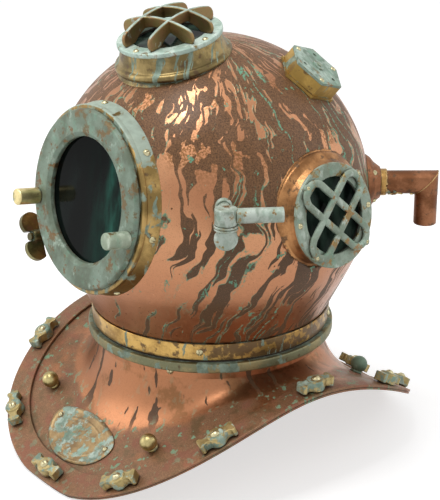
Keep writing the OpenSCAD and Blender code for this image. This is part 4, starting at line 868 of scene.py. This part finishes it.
def neck_pieces():
    flange = Shape()
    flange.turn([(102, 106), (112.3, 106), (112.3, 116.7), (124.5, 116.7), (124.5, 126.5), (108, 126.5),
                 (108, 142.2), (102, 142.2)], 1.6, 192, 4)
    add_lugs(flange, 107, 111, 137.2, 141.2)
    flange.make("neck_flange", "corselet", "green_brass", "flange_brass", ["corselet_ring"])
    band = Shape()
    band.turn([(111.5, 128.3), (120, 128.3), (121, 145.5), (117.4, 145.5), (117.4, 151.5), (114.4, 151.5),
               (114.4, 145.5), (104, 145.5), (104, 142.5), (111.5, 142.5)], 1.2, 192, 4)
    add_lugs(band, 108.3, 112.5, 132.9, 136.9)
    band.make("bonnet_band", "bonnet", "worn_brass", "band_brass", ["neck_band"])


neck_pieces()

# Faceplate
RING_TOP = 152


def seat_piece():
    shape = Shape()
    shape.turn([(63, 126), (92.2, 126), (93, 127.7), (89.8, 140.6), (90.2, 142), (90.2, 145), (89, 146),
                (78, 146), (78, 132), (63, 132)], 0.8, 160)
    # The lock's pad, from the dome up to 27 over pad_z
    pad_z = 100
    verts, faces = lathe(soften([(10, 0), (10, 27), (0, 27)], 1.0, closed=False), 40, closed=False)
    out = []
    for v in verts:
        p = LOCK_AT + Vector((v[0], v[1], 0))
        out.append((p.x, p.y, to_dome(FACE, p.x, p.y) if v[2] < 1 else pad_z + v[2]))
    shape.add(out, faces)
    # The bridge from the seat to the pad, as radii and heights
    half_w = 8
    turn = rot("Z", degrees(atan2(LOCK_AT.y, LOCK_AT.x)))
    steps = [(90, 137), (91.5, 136), (94, 129.5), (103, 128), (111.8, 127)]
    verts, faces = [], []
    for r, top in steps:
        for y in (-half_w, half_w):
            p = turn @ Vector((r, y, 0))
            verts += [(p.x, p.y, top), (p.x, p.y, min(to_dome(FACE, p.x, p.y), top - 0.5))]
    for k in range(0, 4 * len(steps) - 4, 4):
        faces += [(k, k + 2, k + 6, k + 4), (k + 1, k + 5, k + 7, k + 3), (k, k + 4, k + 5, k + 1),
                  (k + 2, k + 3, k + 7, k + 6)]
    shape.add(verts, faces)
    shape.make("face_seat_casting", "bonnet", "worn_brass", "seat_brass", ["face_seat"], FACE, angle=35)


seat_piece()


def face_ring_piece():
    line = soften([(69.8, 133.5), (77.7, 133.5), (77.7, 146.3), (86, 146.3), (86, 148), (85, 151),
                   (84, RING_TOP), (64, RING_TOP), (60, 149), (60, 144.4), (69.8, 144.4)], 0.7)
    verts, faces = lathe(line, 192)

    def worn(x, y, z):
        """The top face, a little uneven."""
        if z > RING_TOP - 0.5:
            z += 0.1 * noise.noise(Vector((x, y, 0)) * 0.12) - 0.1
        return x, y, z
    piece("face_ring_casting", [worn(*v) for v in verts], faces, "faceplate_ring", "green_brass",
          "ring_patina", ["face_ring"], FACE, angle=35)


face_ring_piece()


def post_pieces():
    post_r, post_h, reach = 8, 24, 79
    for name, a, mat in (("right_post", -12, "post_patina"), ("left_post", 192, "gold_post_brass")):
        b = radians(a)
        shape = Shape()
        shape.turn([(0, 0), (post_r, 0), (post_r, post_h), (0, post_h)], 1.3, 40, 4, closed=False,
                   m=move(reach * cos(b), reach * sin(b), RING_TOP))
        shape.make(name, "faceplate_ring", "worn_brass", mat, ["face_posts"], FACE)


post_pieces()


def wing_piece():
    half_t, hub_r, nut_z, nut_turn = 2.5, 5.2, 129.6, 34
    shape = Shape()
    shape.turn([(4.3, 0), (7.5, 0), (6.6, 8), (6, 10), (4.3, 10)], 0.7, 36)
    out = [(max(x, hub_r), y) for x, y in arc(13, 8, 12, -41.8, 263.6, 28)]
    for turn in (90, -90):
        shape.add(*plate(out, -half_t, half_t), m=rot("Z", turn) @ rot("X", 90))
    obj = shape.make("wing_nut_casting", "wing_nut_body", "dull_copper", "wing_brass",
                     ["wing_nut"], LOCK @ move(0, 0, nut_z) @ rot("Z", nut_turn))
    bevel(obj, 1.3)


wing_piece()

# Side ports


def side_seat(shape, fm, side):
    """The seat's outside, leaning to the port, down to the dome, with a bead at its foot."""
    lean, n, rim_r, bore_r, flat_z, low_z = 9, 120, 56, 43.4, -4, -24
    line = soften([(42.5, flat_z), (46.5, flat_z), (46.5, -7), (47.3, -11), (49.7, -16), (53.0, -19),
                   (55.2, -21.2), (rim_r, -23.5)], 2.0, closed=False)
    tilt = rot("X", lean)
    c = tilt.inverted() @ (fm.inverted() @ MIDDLE)
    verts = []
    m = len(line) + 2
    for ca, sa in circle(n):
        for r, z in line:
            top = (flat_z - r * sa * sin(radians(lean))) / cos(radians(lean))
            verts.append(tilt @ Vector((r * ca, r * sa, min(z, top))))
        for r in (rim_r + 0.5 * noise.noise(Vector((ca * 4, sa * 4, side))), bore_r):
            x, y = r * ca, r * sa
            z = c.z + sqrt(max((DOME_R - 0.4) ** 2 - (x - c.x) ** 2 - (y - c.y) ** 2, 0))
            verts.append(tilt @ Vector((x, y, min(z, low_z if r > bore_r else z))))
    shape.add(verts, grid(n, m, wrap=False))
    shape.add(*bead([verts[i * m + m - 2] for i in range(n)], 1.5, 0.5))


def side_port(side):
    fm = side_frame(side)
    name = "left" if side > 0 else "right"
    seat = Shape()
    seat.turn([(37, -34), (43, -34), (43, -4), (41, -4), (41, -11.4), (37, -11.4)], 0.3, 96, 2)
    side_seat(seat, fm, side)
    seat.make(name + "_seat_casting", "bonnet", "worn_brass", "side_seat_brass", [name + "_port_seat"], fm)
    ring = Shape()
    ring.turn([(36, -3.8), (49, -3.8), (49, 0), (36, 0)], 0.9, 128)
    ring.make(name + "_ring_casting", "bonnet", "green_brass", "guard_patina", [name + "_port_ring"], fm)
    # Two crossed loops, one a little higher than the other, and four bosses
    half, bend, boss_at, straight = 32.5, 12, 46, 12
    loop = [(-half + 2 * half * k / straight, -bend) for k in range(straight + 1)]
    loop += arc(half, 0, bend, -90, 180, 14, 1, 13)
    loop += [(half - 2 * half * k / straight, bend) for k in range(straight + 1)]
    loop += arc(-half, 0, bend, 90, 180, 14, 1, 13)
    guard = Shape()
    for a, lift in ((45, 0.2), (-45, 0.16)):
        path = [(x, y, lift + 0.12 * noise.noise(Vector((x, y, a)) * 0.09)) for x, y in loop]
        guard.add(*sweep(path, bar_section(7.0, 4.9, 2.4), closed=True), m=rot("Z", a))
    for k in range(4):
        b = radians(45 + 90 * k)
        guard.turn([(0, 0), (3.6, 0), (3.6, 4.1), (0, 4.1)], 0.6, 24, 2, closed=False,
                   m=move(boss_at * cos(b), boss_at * sin(b), 0.2))
    guard.make(name + "_guard_casting", "bonnet", "green_brass", "guard_patina", [name + "_port_guard"], fm)


for side in (1, -1):
    side_port(side)

# Top port


def top_pieces():
    seat = Shape()
    seat.turn([(37, -34), (43, -34), (43, -5), (41, -5), (41, -12.4), (37, -12.4)], 0.3, 96, 2)
    line = [(42, -5), (49, -5), (49.5, -10), (51, -15), (52.2, -18.5), (53.2, -20)]
    line += arc(53, -24, 4, 80, -170, 8)
    n, rim_r, bore_r, low_z = 128, 55.6, 43.4, -27.8
    verts = []
    for ca, sa in circle(n):
        verts += [(r * ca, r * sa, z) for r, z in line]
        for r in (rim_r, bore_r):
            z = to_dome(TOP, r * ca, r * sa)
            verts.append((r * ca, r * sa, min(z, low_z) if r > bore_r else z))
    seat.add(verts, grid(n, len(line) + 2, wrap=False))
    seat.make("top_seat_casting", "bonnet", "worn_brass", "top_seat_brass", ["top_port_seat"], TOP)
    ring = Shape()
    ring.turn([(36, -4.8), (51, -4.8), (51, 0), (36, 0)], 1.2, 128)
    ring.make("top_flange_casting", "bonnet", "green_brass", "flange_patina", ["top_port_ring"], TOP)
    # An arched blade, from its left foot over the crown and back along the underside
    out = arc(-36, 6, 9, 221.8, -111.3, 8) + arc(0, -90.44, 111.94, 110.5, -41, 24, 1, 23)
    out += arc(36, 6, 9, 69.5, -111.3, 8) + arc(0, -38.18, 49.18, 50.9, 78.2, 20)
    half_t = 1.8
    blades = Shape()
    for s in (1, -1):
        for turn, off in ((11, 13.5), (101, 16.5)):
            m = rot("Z", turn) @ move(0, s * off, 0.05) @ rot("X", 90)
            blades.add(*plate(out, -half_t, half_t), m)
    obj = blades.make("top_guard_blades", "bonnet", "green_brass", "blade_patina", ["top_port_ring"], TOP)
    bevel(obj, 1.1)


top_pieces()

# Elbows
TUBE_R, TUBE_BORE, MITRE_X = 11.6, 9.6, 215


def elbow_tube(name, fm):
    tube = Shape()
    n = 48
    # Heights of the turned-down end's rows, and how far each is cut in on the outside
    ends = ((-12.8, 0), (-13, 0.2), (-42.4, 0.2), (-43, 0.6))
    for r, outside in ((TUBE_R, 1), (TUBE_BORE, 0)):
        ring = [(r * ca, r * sa) for ca, sa in circle(n)]
        verts = [(x, c, s) for x in (141.2, 172, 190) for c, s in ring]
        verts += [(MITRE_X + s, c, s) for c, s in ring]
        for z, cut in ends:
            k = (r - cut * outside) / r
            verts += [(MITRE_X + s * k, c * k, z) for c, s in ring]
        rows = len(verts) // n
        tube.add(verts, grid(rows, n, around=False))
    total = rows * n
    for j in (0, total - n):
        for i in range(n):
            k = (i + 1) % n
            tube.f.append((j + i, j + k, total + j + k, total + j + i))
    tube.make(name + "_elbow_tube", "bonnet", "dull_copper", "elbow_copper", [name + "_elbow"], fm, angle=40)


def elbow_braze(name, fm, side):
    """Beads round the mitre and beside the brass ring, and filler."""
    seam = Shape()
    n, ring_x = 60, 174.0
    r = TUBE_R - 0.1
    seam.add(*bead([(MITRE_X + r * sa, r * ca, r * sa) for ca, sa in circle(n)], 0.35, 0.9))
    r = TUBE_R + 0.3
    seam.add(*bead([(ring_x, r * ca, r * sa) for ca, sa in circle(n)], 1.1, 0.9))
    # Uneven filler that has run along the tube's underside and into the mitre's hollow
    steps = 13
    for x0, x1, down in ((174.5, 183, 38), (177, 190, 66), (199, 204, 74)):
        path = []
        for i in range(steps + 1):
            k = i / steps
            a = radians(down + 16 * sin(5 * k + x0))
            r = 11.3 + 0.5 * sin(pi * k)
            path.append((x0 + (x1 - x0) * k, -side * r * cos(a), -r * sin(a)))
        seam.add(*bead(path, 1.3, 0.8, closed=False))
    seam.make(name + "_elbow_braze", "bonnet", "worn_brass", "braze_brass", frame_m=fm, angle=60)


def elbow_foot(name, m_base, side):
    """The flared foot, its edge laid on the dome."""
    n, foot_r, low_z = 72, 27.8, 154
    line = soften([(27.2, low_z), (24.8, 158.4), (20.4, 161.9), (15.4, 168.4), (11.8, 168.4)], 0.8,
                  closed=False)
    verts = []
    for ca, sa in circle(n):
        r = foot_r + 0.4 * noise.noise(Vector((ca * 3, sa * 3, side)))
        verts.append((r * ca, r * sa, to_dome(m_base, r * ca, r * sa, DOME_R)))
        for r, z in line:
            if z < low_z + 2:
                z = max(to_dome(m_base, r * ca, r * sa, DOME_R + 1.2), low_z)
            verts.append((r * ca, r * sa, z))
    piece(name + "_elbow_cone", verts, grid(n, len(line) + 1, wrap=False), "bonnet", "dull_copper",
          "elbow_copper", [name + "_elbow_base"], m_base)


def elbow_pieces(side):
    fm = elbow_frame(side)
    m_base = fm @ rot("Y", 90)
    name = "air" if side > 0 else "phone"
    elbow_tube(name, fm)
    elbow_braze(name, fm, side)
    elbow_foot(name, m_base, side)
    collar = Shape()
    collar.turn([(11.7, 168.6), (13.4, 168.6), (13.4, 173.6), (11.7, 173.6)], 0.5, 64)
    collar.make(name + "_elbow_ring", "bonnet", "worn_brass", "collar_brass", [name + "_elbow_collar"],
                m_base)


for side in (1, -1):
    elbow_pieces(side)

# Spitcock


def cock_pieces():
    body = Shape()
    body.turn([(6.1, -7.7), (10.3, -7.7), (10.3, 7.7), (0, 7.7), (0, 5.7), (6.1, 5.7)], 1.1, 48, 4)
    body.turn([(4.5, 12), (7, 8), (7, 52), (4.5, 52)], 0.8, 36, m=rot("X", -90))
    body.turn([(3, 0), (6, 0), (6, 35), (3, 35)], 0.3, 32, 2, m=rot("Y", -90))
    body.turn([(6, 21), (7.6, 21), (9.6, 24.5), (9.8, 30), (6, 30)], 0.8, 36, m=rot("Y", -90))
    body.make("spitcock_casting", "bonnet", "green_brass", "cock_patina", ["spitcock_body"], COCK, angle=40)
    plug = Shape()
    plug.turn([(0, -8.1), (11.1, -8.1), (11.1, -9.8), (9.8, -10.4), (11.0, -11.0), (11.1, -12.5), (0, -12.5)],
              0.5, 48, closed=False)
    plug.turn([(0, 5.4), (6, 5.4), (6, -8.5), (0, -8.5)], 0.3, 36, 2, closed=False)
    plug.turn([(0, -3.5), (8.8, -3.5), (10.8, -1.8), (10.8, 1.8), (8.8, 3.5), (0, 3.5)], 1.2, 48, 4,
              closed=False, m=move(0, 0, -21.8) @ rot("Y", 90))
    plug.make("spitcock_handle", "spitcock_plug_body", "green_brass", "cock_patina", ["spitcock_plug"], COCK,
              angle=40)


cock_pieces()

# Valve spring


def spring_piece():
    coil_r, wire_r, low, high, seat_z, turns, steps = 5.2, 0.6, 163.1, 170.2, 170.8, 3, 108
    path = []
    for i in range(steps + 1):
        a = tau * turns * i / steps
        path.append((coil_r * cos(a), coil_r * sin(a), low + (high - low) * i / steps))
    coil = sweep(path, [(wire_r * c, wire_r * s) for c, s in circle(8)])
    obj = piece("valve_spring", *coil, "bonnet", "pale_metal", "screw", ["exhaust_spring"], VALVE, angle=180)
    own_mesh(obj)


spring_piece()

# Materials of the CAD nodes that stay
KEPT = {"face_glass": "face_glass", "exhaust_body": "hex_brass", "exhaust_cover": "cover_patina",
        "exhaust_disc": "post_patina", "lock_stud": "wing_brass", "lock_washer": "wing_brass"}
KEPT.update({name + "_port_glass": "glass" for name in ("left", "right", "top")})
KEPT.update({name: "screw" for name in NODES if "screws" in name})
KEPT.update({name: "leather" for name in NODES if "gasket" in name})
for name, mat in KEPT.items():
    obj = NODES[name]
    obj.data.materials.clear()
    obj.data.materials.append(LOOKS[mat])
for name in ("exhaust_body", "exhaust_cover"):
    bevel(NODES[name], 0.8)

# Floor, light and camera


def floor_piece():
    mesh = bpy.data.meshes.new("floor")
    s, glow, below = 6.0, 0.62, 0.0005
    mesh.from_pydata([(-s, -s, 0), (s, -s, 0), (s, s, 0), (-s, s, 0)], [], [(0, 1, 2, 3)])
    obj = placed("floor", mesh)
    t = Tree("pale_floor")
    # Seen white against the background, with its shadow kept
    grey = t.mix(t.noise(3), (0.61, 0.61, 0.61, 1), (0.63, 0.63, 0.63, 1))
    mat = t.finish(grey, 0.9, 0.0, Specular_IOR_Level=0.1, Emission_Color=(1, 1, 1, 1),
                   Emission_Strength=t.mul(t.seen(), glow))
    mesh.materials.append(mat)
    obj.location.z = -below


floor_piece()
scene.view_settings.view_transform = "Standard"

# White to the camera and in reflections, and half as strong as a light
scene.world = bpy.data.worlds.new("studio")
studio = Tree("studio", scene.world)
level = studio.line(studio.seen(), 0.0, 1.0, 0.5)
back = studio.node("Background", {"Color": (1, 1, 1, 1), "Strength": level})
studio.node("OutputWorld", {0: back.outputs[0]})

AIM = Vector((0, 0, 0.22))
CAM = Vector((1.2622, -0.9500, 0.8023))
RIGHT = Vector((0.6063, 0.7953, 0))
BACK = Vector((0.7424, -0.5660, 0.3584))
UP = BACK.cross(RIGHT)


def lamp(name, right, up, back, watts, size, tall):
    """A light aimed at the helmet's middle, placed in metres from it along the camera's directions."""
    data = bpy.data.lights.new(name, "AREA")
    data.shape = "RECTANGLE"
    data.size = size
    data.size_y = tall
    data.energy = watts
    obj = placed(name, data)
    at = AIM + RIGHT * right + UP * up + BACK * back
    obj.location = at
    obj.rotation_euler = (AIM - at).to_track_quat("-Z", "Y").to_euler()


lamp("key", -0.5, 1.6, 1.0, watts=20, size=0.8, tall=0.8)
lamp("fill_left", -1.9, 0.7, 0.2, watts=9, size=1.0, tall=1.2)
lamp("fill_right", 1.8, 0.8, 0.3, watts=5, size=1.0, tall=1.2)

SENSOR, FOCAL_PX, PICTURE_PX = 36, 1677.06, 500
camera = bpy.data.cameras.new("camera")
camera.sensor_fit = "VERTICAL"
camera.sensor_height = SENSOR
camera.lens = FOCAL_PX * SENSOR / PICTURE_PX
eye = placed("camera", camera)
eye.matrix_world = Matrix([*zip(RIGHT, UP, BACK, CAM), (0, 0, 0, 1)])
scene.camera = eye
